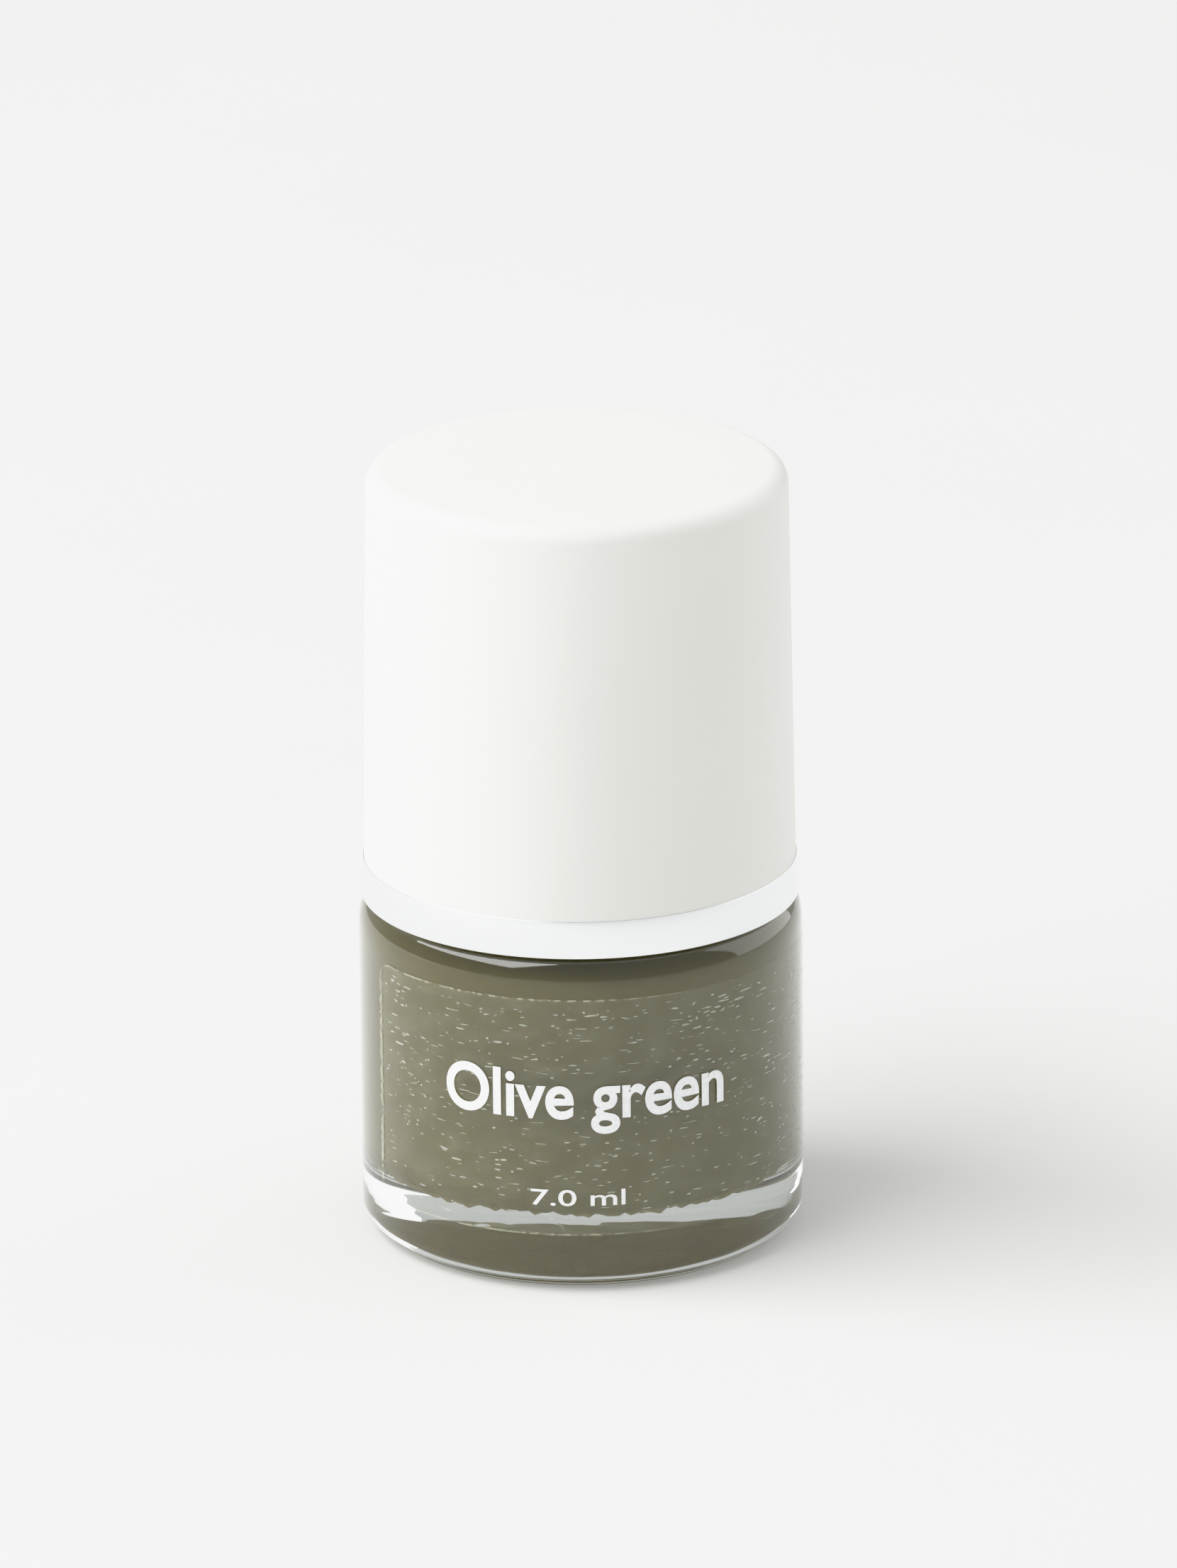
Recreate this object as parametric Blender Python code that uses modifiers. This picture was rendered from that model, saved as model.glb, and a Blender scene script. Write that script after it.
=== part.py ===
"""Nail polish bottle with its screw cap and brush.

Metres, +Z up. The origin is the centre of the base, on the surface that the bottle stands on,
and every piece is centred on the Z axis apart from the label, the mixing balls and the threads.
"""

import math

import bmesh
import bpy
from mathutils import Matrix

MM = 0.001

# Glass bottle
BOTTLE_RADIUS = 14.0 * MM
GLASS_WALL = 2.0 * MM
BASE_THICKNESS = 4.3 * MM
STRAIGHT_TOP = 19.4 * MM  # height where the straight wall ends and the shoulder begins
SHOULDER_RISE = 3.6 * MM
SHOULDER_FULLNESS = 3.5  # superellipse exponent: 2 is an ellipse, more is squarer
INNER_FULLNESS = 3.0
SHOULDER_GLASS = 1.6 * MM
HEEL_RADIUS = 1.4 * MM
FOOT_RISE = 0.4 * MM  # the bearing ring stands this far below the heel
FLOOR_FILLET = 2.0 * MM
BEARING_WIDTH = 0.8 * MM
DOME_STEP = 0.35 * MM  # rise from the bearing ring to the edge of the dome
PUSH_UP = 1.35 * MM  # how far the middle of the underside is domed clear of the table
FINISH_HEIGHT = 11.2 * MM
NECK_ROOT_RADIUS = 5.75 * MM
BORE_RADIUS = 3.5 * MM
LIP_ROUNDING = 0.5 * MM

# Thread of the neck and cap
THREAD_PITCH = 2.12 * MM
THREAD_TURNS = 1.5
THREAD_DROP = 2.2 * MM  # from the lip down to the thread's first turn
GLASS_BEAD = 0.7 * MM
CAP_BEAD = 0.5 * MM
THREAD_CLEARANCE = 0.2 * MM

# Polish and mixing balls
FILL_ABOVE_STRAIGHT = 1.0 * MM  # polish level above the end of the straight wall
BALL_RADIUS = 1.75 * MM
BALL_AZIMUTHS = (0.0, 180.0)
BALL_REST_GAP = 0.15 * MM
BALL_WALL_GAP = 1.65 * MM  # from a ball to the straight inner wall

# Wrapped film label, with azimuths measured from the front (-Y) towards +X
LABEL_BOTTOM = 3.9 * MM
LABEL_ABOVE_STRAIGHT = 0.1 * MM
LABEL_START = -63.6
LABEL_SPAN = 290.0
LABEL_FILM = 0.08 * MM
LABEL_CORNER = 1.3 * MM
LABEL_GAP = 0.05 * MM

# Closure
COLLAR_SETBACK = 0.15 * MM  # from the bottle's outside to the collar's lower edge
COLLAR_DROP = 0.95 * MM  # from the shoulder's top down to the collar's lower edge
COLLAR_HEIGHT = 2.25 * MM
COLLAR_TAPER = 0.2 * MM
COLLAR_METAL = 0.45 * MM
SLEEVE_HEIGHT = 3.3 * MM
CAP_HEIGHT = 25.5 * MM
CAP_STEP = 0.05 * MM  # the shell's rim lies this far inside the collar's top edge
CAP_DRAFT = math.radians(0.95)
CAP_WALL = 1.5 * MM
CAP_TOP_WALL = 1.6 * MM
CAP_CORNER = 1.15 * MM
SOCKET_WALL = 1.6 * MM
SOCKET_STEP = 1.3 * MM
WEB_COUNT = 8
WEB_WIDTH = 0.9 * MM
INNER_CAP_WALL = 0.85 * MM
INNER_CAP_LIFT = 0.6 * MM  # from the shoulder up to the inner cap's rim
INNER_CAP_TOP = 1.5 * MM
BOSS_WALL = 1.2 * MM
BOSS_HEIGHT = 3.5 * MM
KEY_COUNT = 6
KEY_WIDTH = 1.4 * MM
KEY_HEIGHT = 0.8 * MM

# Seal and brush
LINER_THICKNESS = 0.8 * MM
LINER_INSET = 0.15 * MM  # from the neck's root to the liner's edge
FLANGE_THICKNESS = 1.0 * MM
PLUG_LENGTH = 2.0 * MM
PLUG_CLEARANCE = 0.35 * MM
SPIGOT_RADIUS = 2.6 * MM
SPIGOT_HEIGHT = 4.5 * MM
STEM_RADIUS = 1.6 * MM
FERRULE_RADIUS = 1.75 * MM
FERRULE_LENGTH = 4.0 * MM
TUFT_SOCKET_RADIUS = 1.25 * MM
TUFT_SOCKET_DEPTH = 3.2 * MM
TUFT_RADIUS = 1.5 * MM
TUFT_LENGTH = 11.2 * MM
TIP_CLEARANCE = 2.0 * MM  # from the glass floor up to the brush
ANCHOR_SIZE = (1.7 * MM, 0.25 * MM, 1.4 * MM)

# Clearances
FIT_GAP = 0.3 * MM
SEAT_GAP = 0.2 * MM
SMALL_GAP = 0.2 * MM

# Facets
LARGE_STEPS = 48
SMALL_STEPS = 32
MERGE = 0.01 * MM
OVERLAP = 0.3 * MM  # how deep joined shapes run into each other

# Heights and radii that follow from the sizes above
INNER_RADIUS = BOTTLE_RADIUS - GLASS_WALL
SHOULDER_TOP = STRAIGHT_TOP + SHOULDER_RISE
LIP_HEIGHT = SHOULDER_TOP + FINISH_HEIGHT
BALL_ORBIT = INNER_RADIUS - BALL_WALL_GAP - BALL_RADIUS
THREAD_CREST = NECK_ROOT_RADIUS + GLASS_BEAD
THREAD_TOP = LIP_HEIGHT - THREAD_DROP
FILL_HEIGHT = STRAIGHT_TOP + FILL_ABOVE_STRAIGHT
LABEL_TOP = STRAIGHT_TOP + LABEL_ABOVE_STRAIGHT
TUFT_TIP = BASE_THICKNESS + TIP_CLEARANCE
STEM_BOTTOM = TUFT_TIP + TUFT_LENGTH
CAP_THREAD_ROOT = THREAD_CREST + THREAD_CLEARANCE + CAP_BEAD
INNER_CAP_RADIUS = CAP_THREAD_ROOT + INNER_CAP_WALL
INNER_CAP_BOTTOM = SHOULDER_TOP + INNER_CAP_LIFT
LINER_BOTTOM = LIP_HEIGHT + SEAT_GAP
LINER_OUTER = NECK_ROOT_RADIUS - LINER_INSET
FLANGE_BOTTOM = LINER_BOTTOM + LINER_THICKNESS + SEAT_GAP
CEILING = FLANGE_BOTTOM + FLANGE_THICKNESS + SEAT_GAP
INNER_CAP_CROWN = CEILING + INNER_CAP_TOP
PLUG_RADIUS = BORE_RADIUS - PLUG_CLEARANCE
BOSS_BORE = SPIGOT_RADIUS + FIT_GAP
COLLAR_BOTTOM = SHOULDER_TOP - COLLAR_DROP
COLLAR_LOW_RADIUS = BOTTLE_RADIUS - COLLAR_SETBACK
COLLAR_TOP_RADIUS = COLLAR_LOW_RADIUS - COLLAR_TAPER
CAP_BOTTOM = COLLAR_BOTTOM + COLLAR_HEIGHT + SEAT_GAP
CAP_TOP = CAP_BOTTOM + CAP_HEIGHT
CAP_LOW_RADIUS = COLLAR_TOP_RADIUS - CAP_STEP
SLEEVE_RADIUS = CAP_LOW_RADIUS - CAP_WALL - FIT_GAP
SOCKET_BORE = INNER_CAP_RADIUS + FIT_GAP
SOCKET_BOTTOM = COLLAR_BOTTOM + COLLAR_HEIGHT + SLEEVE_HEIGHT + FIT_GAP
SOCKET_SEAT = INNER_CAP_CROWN + SEAT_GAP


def collection(name):
    """A new collection in the scene."""
    made = bpy.data.collections.new(name)
    bpy.context.scene.collection.children.link(made)
    return made


def material(name, colour, roughness, metallic=0.0, transmission=0.0, alpha=1.0):
    """A Principled material with one colour."""
    made = bpy.data.materials.new(name)
    made.use_nodes = True
    shader = made.node_tree.nodes["Principled BSDF"]
    shader.inputs["Base Color"].default_value = (*colour, 1.0)
    shader.inputs["Roughness"].default_value = roughness
    shader.inputs["Metallic"].default_value = metallic
    shader.inputs["Transmission Weight"].default_value = transmission
    shader.inputs["Alpha"].default_value = alpha
    return made


def arc(centre_x, centre_z, radius, start, stop, steps):
    """Profile points on an arc, with angles in degrees from +X towards +Z."""
    points = []
    for i in range(steps + 1):
        angle = math.radians(start + (stop - start) * i / steps)
        points.append((centre_x + radius * math.cos(angle), centre_z + radius * math.sin(angle)))
    return points


def shoulder(inner_x, outer_x, low_z, rise, fullness, steps):
    """Superellipse quarter from the top at inner_x down to the side at outer_x."""
    points = []
    for i in range(steps + 1):
        angle = math.pi / 2 * (1 - i / steps)
        across = max(math.cos(angle), 0.0) ** (2 / fullness)
        up = max(math.sin(angle), 0.0) ** (2 / fullness)
        points.append((inner_x + (outer_x - inner_x) * across, low_z + rise * up))
    return points


def link(obj, finish, group):
    """Give an object its material and put it in a collection."""
    obj.data.materials.clear()
    obj.data.materials.append(finish)
    group.objects.link(obj)
    return obj


def turned(name, profile, finish, group, steps=LARGE_STEPS, ring=False, base_z=0.0):
    """A solid of revolution. The profile's heights are world heights and base_z is its own datum."""
    mesh = bpy.data.meshes.new(name)
    points = [(x, 0.0, z - base_z) for x, z in profile]
    edges = [(i, i + 1) for i in range(len(points) - 1)]
    if ring:
        edges.append((len(points) - 1, 0))
    mesh.from_pydata(points, edges, [])
    obj = link(bpy.data.objects.new(name, mesh), finish, group)
    obj.location.z = base_z
    screw = obj.modifiers.new("Turn", "SCREW")
    screw.axis = "Z"
    screw.angle = math.tau
    screw.steps = steps
    screw.render_steps = steps
    screw.use_merge_vertices = True
    screw.merge_threshold = MERGE
    screw.use_smooth_shade = True
    return obj


def boolean(obj, other, operation):
    """A live EXACT Boolean of obj with other."""
    cut = obj.modifiers.new(other.name, "BOOLEAN")
    cut.operation = operation
    cut.solver = "EXACT"
    cut.object = other


def as_cutter(obj):
    """Mark an object as a helper that isn't part of the model."""
    obj.hide_render = True
    obj.display_type = "WIRE"
    return obj


def boxes(name, items, finish, group):
    """Boxes in one helper mesh: items are (size, centre, turn about Z in radians)."""
    mesh = bpy.data.meshes.new(name)
    shape = bmesh.new()
    for size, centre, turn in items:
        place = Matrix.Rotation(turn, 4, "Z") @ Matrix.Translation(centre) @ Matrix.Diagonal((*size, 1.0))
        bmesh.ops.create_cube(shape, size=1.0, matrix=place)
    shape.to_mesh(mesh)
    shape.free()
    return as_cutter(link(bpy.data.objects.new(name, mesh), finish, group))


def thread_bead(name, radius, bead, start_degrees, finish, group):
    """A helical bead of round section that fades out at both ends, as a helper mesh."""
    per_turn = 20
    count = int(per_turn * THREAD_TURNS) + 1
    curve = bpy.data.curves.new(name, "CURVE")
    curve.dimensions = "3D"
    curve.bevel_depth = bead
    curve.bevel_resolution = 2
    curve.use_fill_caps = True
    spline = curve.splines.new("POLY")
    spline.points.add(count - 1)
    for i, point in enumerate(spline.points):
        turn = i / per_turn
        angle = math.radians(start_degrees) - math.tau * turn
        point.co = (
            radius * math.cos(angle),
            radius * math.sin(angle),
            -THREAD_PITCH * turn,
            1.0,
        )
        point.radius = min(1.0, 0.45 + 0.2 * min(i, count - 1 - i))
    tube = bpy.data.objects.new(name, curve)
    group.objects.link(tube)
    tube.location.z = THREAD_TOP
    bpy.context.view_layer.update()
    depsgraph = bpy.context.evaluated_depsgraph_get()
    mesh = bpy.data.meshes.new_from_object(tube.evaluated_get(depsgraph))
    shape = bmesh.new()
    shape.from_mesh(mesh)
    bmesh.ops.remove_doubles(shape, verts=shape.verts, dist=MERGE)
    bmesh.ops.recalc_face_normals(shape, faces=shape.faces)
    shape.to_mesh(mesh)
    shape.free()
    made = bpy.data.objects.new(name, mesh)
    made.matrix_world = tube.matrix_world.copy()
    bpy.data.objects.remove(tube)
    return as_cutter(link(made, finish, group))


def glass_bottle(finish, parts, cutters):
    """One closed glass skin: inner floor, wall and bore, lip, threaded neck, shoulder, wall and base."""
    inner_top = SHOULDER_TOP - SHOULDER_GLASS
    inner_spring = STRAIGHT_TOP - GLASS_WALL / 4
    bearing_out = BOTTLE_RADIUS - HEEL_RADIUS
    bearing_in = bearing_out - BEARING_WIDTH
    inside = [(0.0, BASE_THICKNESS)]
    inside += arc(INNER_RADIUS - FLOOR_FILLET, BASE_THICKNESS + FLOOR_FILLET, FLOOR_FILLET, -90, 0, 5)
    inside += shoulder(
        BORE_RADIUS, INNER_RADIUS, inner_spring, inner_top - inner_spring, INNER_FULLNESS, 7
    )[::-1]
    lip_in = arc(BORE_RADIUS + LIP_ROUNDING, LIP_HEIGHT - LIP_ROUNDING, LIP_ROUNDING, 180, 90, 3)
    lip_out = arc(NECK_ROOT_RADIUS - LIP_ROUNDING, LIP_HEIGHT - LIP_ROUNDING, LIP_ROUNDING, 90, 0, 3)
    outside = shoulder(
        NECK_ROOT_RADIUS, BOTTLE_RADIUS, STRAIGHT_TOP, SHOULDER_RISE, SHOULDER_FULLNESS, 9
    )
    heel = arc(bearing_out, FOOT_RISE + HEEL_RADIUS, HEEL_RADIUS, 0, -90, 4)
    dome_edge = bearing_in - 2 * DOME_STEP
    dome_rise = PUSH_UP - DOME_STEP
    underside = [(bearing_out, 0.0), (bearing_in, 0.0)]
    underside += [(t * dome_edge, DOME_STEP + dome_rise * (1 - t * t)) for t in (1, 0.75, 0.5, 0.25, 0)]
    body = turned("glass_bottle", inside + lip_in + lip_out + outside + heel + underside, finish, parts)
    boolean(body, thread_bead("neck_thread", NECK_ROOT_RADIUS, GLASS_BEAD, 20.0, finish, cutters), "UNION")
    return body


def polish(finish, parts):
    """The liquid, open above where the brush hangs and below where the mixing balls roll."""
    wall = INNER_RADIUS - FIT_GAP
    bottom = BASE_THICKNESS + FIT_GAP
    fillet = FLOOR_FILLET - FIT_GAP
    recess = FERRULE_RADIUS + 1.5 * FIT_GAP
    recess_floor = TUFT_TIP - 1.5 * FIT_GAP
    ball_height = BASE_THICKNESS + BALL_REST_GAP + BALL_RADIUS
    groove = BALL_RADIUS + FIT_GAP
    half_mouth = math.degrees(math.asin((ball_height - bottom) / groove))
    fill_edge = wall - GLASS_WALL / 4
    profile = [(recess, FILL_HEIGHT), (fill_edge, FILL_HEIGHT)]
    profile += [(wall, STRAIGHT_TOP - GLASS_WALL)]
    profile += arc(wall - fillet, bottom + fillet, fillet, 0, -90, 4)
    profile += arc(BALL_ORBIT, ball_height, groove, -half_mouth, 180 + half_mouth, 12)
    profile += [(0.0, bottom)]
    profile = [(0.0, recess_floor), (recess, recess_floor)] + profile
    return turned("polish", profile, finish, parts, base_z=BASE_THICKNESS)


def mixing_ball(index, azimuth, finish, parts):
    """A steel ball resting on the glass floor, under an empty that stands on the bottle's axis."""
    axis = bpy.data.objects.new(f"ball_{index}_axis", None)
    parts.objects.link(axis)
    axis.location.z = BASE_THICKNESS + BALL_REST_GAP + BALL_RADIUS
    axis.rotation_euler.z = math.radians(azimuth)
    mesh = bpy.data.meshes.new(f"mixing_ball_{index}")
    shape = bmesh.new()
    bmesh.ops.create_uvsphere(shape, u_segments=16, v_segments=10, radius=BALL_RADIUS)
    shape.to_mesh(mesh)
    shape.free()
    ball = link(bpy.data.objects.new(f"mixing_ball_{index}", mesh), finish, parts)
    ball.parent = axis
    ball.location.x = BALL_ORBIT
    ball.data.shade_smooth()
    return ball


def wrap_label(finish, parts):
    """Film bent round the straight wall, as an open sheet with rounded corners given a thickness."""
    radius = BOTTLE_RADIUS + LABEL_GAP
    length = radius * math.radians(LABEL_SPAN)
    corner = [LABEL_CORNER * (1 - math.cos(math.radians(a))) for a in (0, 30, 60, 90)]
    middle_count = 72
    span = length - 2 * LABEL_CORNER
    along = corner + [LABEL_CORNER + span * i / middle_count for i in range(1, middle_count)]
    along += [length - s for s in reversed(corner)]
    shape = bmesh.new()
    rows = []
    for s in along:
        short = max(0.0, LABEL_CORNER - min(s, length - s))
        pull = LABEL_CORNER - math.sqrt(max(LABEL_CORNER**2 - short**2, 0.0))
        azimuth = math.radians(LABEL_START - 90) + s / radius
        x = radius * math.cos(azimuth)
        y = radius * math.sin(azimuth)
        low = shape.verts.new((x, y, pull))
        high = shape.verts.new((x, y, LABEL_TOP - LABEL_BOTTOM - pull))
        rows.append((low, high))
    for (low, high), (next_low, next_high) in zip(rows, rows[1:]):
        shape.faces.new((low, next_low, next_high, high))
    mesh = bpy.data.meshes.new("wrap_label")
    shape.to_mesh(mesh)
    shape.free()
    label = link(bpy.data.objects.new("wrap_label", mesh), finish, parts)
    label.location.z = LABEL_BOTTOM
    film = label.modifiers.new("Film", "SOLIDIFY")
    film.thickness = LABEL_FILM
    film.offset = 1.0
    return label


def collar_ring(finish, parts):
    """Turned metal band with a sleeve that fits inside the shell's mouth."""
    step_top = COLLAR_BOTTOM + COLLAR_HEIGHT
    step_under = step_top - COLLAR_METAL
    sleeve_top = step_top + SLEEVE_HEIGHT
    band_inside = COLLAR_LOW_RADIUS - COLLAR_METAL
    sleeve_inside = SLEEVE_RADIUS - COLLAR_METAL
    profile = [
        (SLEEVE_RADIUS, sleeve_top),
        (SLEEVE_RADIUS, step_top),
        (COLLAR_TOP_RADIUS, step_top),
        (COLLAR_LOW_RADIUS, COLLAR_BOTTOM),
        (band_inside, COLLAR_BOTTOM),
        (band_inside - COLLAR_TAPER, step_under),
        (sleeve_inside, step_under),
        (sleeve_inside, sleeve_top),
    ]
    return turned("collar_ring", profile, finish, parts, ring=True, base_z=COLLAR_BOTTOM)


def outer_cap(finish, parts, cutters):
    """Tapered shell with a keyed socket hung from its ceiling and webs between the two."""
    draft = math.tan(CAP_DRAFT)
    ceiling = CAP_TOP - CAP_TOP_WALL
    corner_z = CAP_TOP - CAP_CORNER
    corner_x = CAP_LOW_RADIUS - draft * (corner_z - CAP_BOTTOM)
    mouth = CAP_LOW_RADIUS - CAP_WALL
    inner_top_x = mouth - draft * (ceiling - CAP_BOTTOM)
    socket_out = SOCKET_BORE + SOCKET_WALL
    profile = [(0.0, CAP_TOP)]
    profile += arc(corner_x - CAP_CORNER, corner_z, CAP_CORNER, 90, 0, 5)
    profile += [(CAP_LOW_RADIUS, CAP_BOTTOM), (mouth, CAP_BOTTOM), (inner_top_x, ceiling), (0.0, ceiling)]
    shell = turned("outer_cap", profile, finish, parts, base_z=CAP_BOTTOM)
    tube = [
        (socket_out, ceiling + OVERLAP),
        (socket_out, SOCKET_BOTTOM),
        (SOCKET_BORE, SOCKET_BOTTOM),
        (SOCKET_BORE, SOCKET_SEAT),
        (SOCKET_BORE - SOCKET_STEP, SOCKET_SEAT),
        (SOCKET_BORE - SOCKET_STEP, ceiling + OVERLAP),
    ]
    socket = as_cutter(turned("socket", tube, finish, cutters, ring=True))
    boolean(shell, socket, "UNION")
    web_in = SOCKET_BORE + SOCKET_WALL / 2
    web_out = inner_top_x + CAP_WALL / 2
    web_low = SOCKET_BOTTOM + FIT_GAP
    web_high = ceiling + OVERLAP
    web_size = (web_out - web_in, WEB_WIDTH, web_high - web_low)
    web_centre = ((web_in + web_out) / 2, 0.0, (web_low + web_high) / 2)
    webs = [(web_size, web_centre, math.tau * (i + 0.25) / WEB_COUNT) for i in range(WEB_COUNT)]
    boolean(shell, boxes("webs", webs, finish, cutters), "UNION")
    slot_low = SOCKET_BOTTOM - OVERLAP
    slot_reach = SOCKET_BORE + KEY_HEIGHT
    slot_size = (slot_reach, KEY_WIDTH + 2 * FIT_GAP, SOCKET_SEAT - slot_low)
    slot_centre = (slot_reach / 2, 0.0, (slot_low + SOCKET_SEAT) / 2)
    slots = [(slot_size, slot_centre, math.tau * i / KEY_COUNT) for i in range(KEY_COUNT)]
    boolean(shell, boxes("key_slots", slots, finish, cutters), "DIFFERENCE")
    return shell


def inner_cap(finish, parts, cutters):
    """Threaded cap with a boss round the brush's spigot and keys on its outside."""
    boss_out = BOSS_BORE + BOSS_WALL
    boss_top = INNER_CAP_CROWN + BOSS_HEIGHT
    profile = [
        (boss_out, boss_top),
        (boss_out, INNER_CAP_CROWN),
        (INNER_CAP_RADIUS, INNER_CAP_CROWN),
        (INNER_CAP_RADIUS, INNER_CAP_BOTTOM),
        (CAP_THREAD_ROOT, INNER_CAP_BOTTOM),
        (CAP_THREAD_ROOT, CEILING),
        (BOSS_BORE, CEILING),
        (BOSS_BORE, boss_top),
    ]
    body = turned("inner_cap", profile, finish, parts, ring=True, base_z=INNER_CAP_BOTTOM)
    key_low = SOCKET_BOTTOM + FIT_GAP
    key_in = INNER_CAP_RADIUS - OVERLAP
    key_size = (KEY_HEIGHT + OVERLAP, KEY_WIDTH, INNER_CAP_CROWN - key_low - SEAT_GAP)
    key_centre = (key_in + key_size[0] / 2, 0.0, key_low + key_size[2] / 2)
    keys = [(key_size, key_centre, math.tau * i / KEY_COUNT) for i in range(KEY_COUNT)]
    boolean(body, boxes("keys", keys, finish, cutters), "UNION")
    boolean(body, thread_bead("cap_thread", CAP_THREAD_ROOT, CAP_BEAD, 200.0, finish, cutters), "UNION")
    return body


def sealing_liner(finish, parts):
    """Soft ring between the bottle's lip and the stem's flange."""
    top = LINER_BOTTOM + LINER_THICKNESS
    hole = PLUG_RADIUS + FIT_GAP
    profile = [(LINER_OUTER, top), (LINER_OUTER, LINER_BOTTOM), (hole, LINER_BOTTOM), (hole, top)]
    return turned("sealing_liner", profile, finish, parts, ring=True, base_z=LINER_BOTTOM)


def brush_stem(finish, parts):
    """Spigot, flange, plug and rod in one moulding, with a blind socket for the tuft."""
    flange_top = FLANGE_BOTTOM + FLANGE_THICKNESS
    spigot_top = flange_top + SPIGOT_HEIGHT
    chamfer = SPIGOT_RADIUS / 5
    plug_end = FLANGE_BOTTOM - LINER_THICKNESS - PLUG_LENGTH
    ferrule_top = STEM_BOTTOM + FERRULE_LENGTH
    profile = [
        (0.0, spigot_top),
        (SPIGOT_RADIUS - chamfer, spigot_top),
        (SPIGOT_RADIUS, spigot_top - chamfer),
        (SPIGOT_RADIUS, flange_top),
        (LINER_OUTER, flange_top),
        (LINER_OUTER, FLANGE_BOTTOM),
        (PLUG_RADIUS, FLANGE_BOTTOM),
        (PLUG_RADIUS, plug_end + PLUG_LENGTH / 2),
        (STEM_RADIUS, plug_end),
        (STEM_RADIUS, ferrule_top + FERRULE_RADIUS),
        (FERRULE_RADIUS, ferrule_top),
        (FERRULE_RADIUS, STEM_BOTTOM),
        (TUFT_SOCKET_RADIUS, STEM_BOTTOM),
        (TUFT_SOCKET_RADIUS, STEM_BOTTOM + TUFT_SOCKET_DEPTH),
        (0.0, STEM_BOTTOM + TUFT_SOCKET_DEPTH),
    ]
    return turned("brush_stem", profile, finish, parts, SMALL_STEPS, base_z=FLANGE_BOTTOM)


def bristles(finish, parts, cutters):
    """The tuft as one solid: root in the socket, belly, and a rounded tip, slotted for its anchor."""
    root_radius = TUFT_SOCKET_RADIUS - SMALL_GAP
    root_top = STEM_BOTTOM + TUFT_SOCKET_DEPTH - SMALL_GAP
    length = STEM_BOTTOM - TUFT_TIP
    outside = [
        (0.0, root_top),
        (root_radius, root_top),
        (root_radius, STEM_BOTTOM - SMALL_GAP),
        (TUFT_RADIUS, TUFT_TIP + length * 0.55),
        (TUFT_RADIUS * 0.93, TUFT_TIP + length * 0.28),
    ]
    tip = arc(0.0, TUFT_TIP + TUFT_RADIUS * 0.75, TUFT_RADIUS * 0.75, 0, -90, 4)
    tuft = turned("bristles", outside + tip, finish, parts, SMALL_STEPS, base_z=STEM_BOTTOM)
    width, thickness, height = ANCHOR_SIZE
    slot_height = height + 2 * SMALL_GAP
    slot = (2 * width, thickness + 2 * SMALL_GAP, slot_height)
    centre = (0.0, 0.0, root_top + SMALL_GAP - slot_height / 2)
    boolean(tuft, boxes("anchor_slot", [(slot, centre, 0.0)], finish, cutters), "DIFFERENCE")
    return tuft


def tuft_anchor(finish, parts):
    """Small metal plate that holds the folded tuft in its socket."""
    mesh = bpy.data.meshes.new("tuft_anchor")
    shape = bmesh.new()
    bmesh.ops.create_cube(shape, size=1.0, matrix=Matrix.Diagonal((*ANCHOR_SIZE, 1.0)))
    shape.to_mesh(mesh)
    shape.free()
    plate = link(bpy.data.objects.new("tuft_anchor", mesh), finish, parts)
    plate.location.z = STEM_BOTTOM + TUFT_SOCKET_DEPTH - SMALL_GAP - ANCHOR_SIZE[2] / 2
    return plate


def parent_keeping_place(axis_name, height, pieces, parts):
    """Put pieces under an empty on the Z axis, leaving them where they are."""
    axis = bpy.data.objects.new(axis_name, None)
    parts.objects.link(axis)
    axis.location.z = height
    for piece in pieces:
        piece.parent = axis
        piece.location.z -= height


def build():
    """Clear the scene and model every piece."""
    for obj in list(bpy.data.objects):
        bpy.data.objects.remove(obj)
    parts = collection("nail_polish_bottle")
    cutters = collection("cutters")
    glass = material("clear_glass", (0.93, 0.95, 0.93), 0.02, transmission=1.0)
    lacquer = material("olive_lacquer", (0.155, 0.150, 0.100), 0.25)
    steel = material("ball_steel", (0.62, 0.62, 0.63), 0.2, metallic=1.0)
    film = material("clear_film", (0.90, 0.90, 0.88), 0.15, alpha=0.3)
    shell_white = material("matt_white_plastic", (0.88, 0.88, 0.86), 0.5)
    bright_metal = material("polished_aluminium", (0.91, 0.92, 0.93), 0.08, metallic=1.0)
    cap_plastic = material("white_polypropylene", (0.85, 0.85, 0.83), 0.4)
    liner_foam = material("polyethylene_foam", (0.80, 0.80, 0.78), 0.7)
    stem_plastic = material("natural_polyethylene", (0.82, 0.82, 0.78), 0.35)
    nylon = material("nylon_bristle", (0.20, 0.19, 0.13), 0.45)
    glass_bottle(glass, parts, cutters)
    polish(lacquer, parts)
    for index, azimuth in enumerate(BALL_AZIMUTHS, start=1):
        mixing_ball(index, azimuth, steel, parts)
    wrap_label(film, parts)
    sealing_liner(liner_foam, parts)
    brush = [
        brush_stem(stem_plastic, parts),
        bristles(nylon, parts, cutters),
        tuft_anchor(steel, parts),
    ]
    cap = [
        outer_cap(shell_white, parts, cutters),
        inner_cap(cap_plastic, parts, cutters),
        collar_ring(bright_metal, parts),
    ]
    parent_keeping_place("brush_axis", FLANGE_BOTTOM, brush, parts)
    parent_keeping_place("cap_axis", CAP_BOTTOM, cap, parts)


build()
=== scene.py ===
# %% [markdown]
# # A bottle of nail polish
#
# This notebook dresses a working assembly in its real surfaces: a moulded glass bottle, the
# lacquer inside it, a clear printed film, a metal collar, a soft-touch cap and the brush. The
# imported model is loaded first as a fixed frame. Every new surface takes its place from it.

# %% Load the frame
import math

import bmesh
import bpy
import numpy as np
from mathutils import Matrix, Vector


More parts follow.
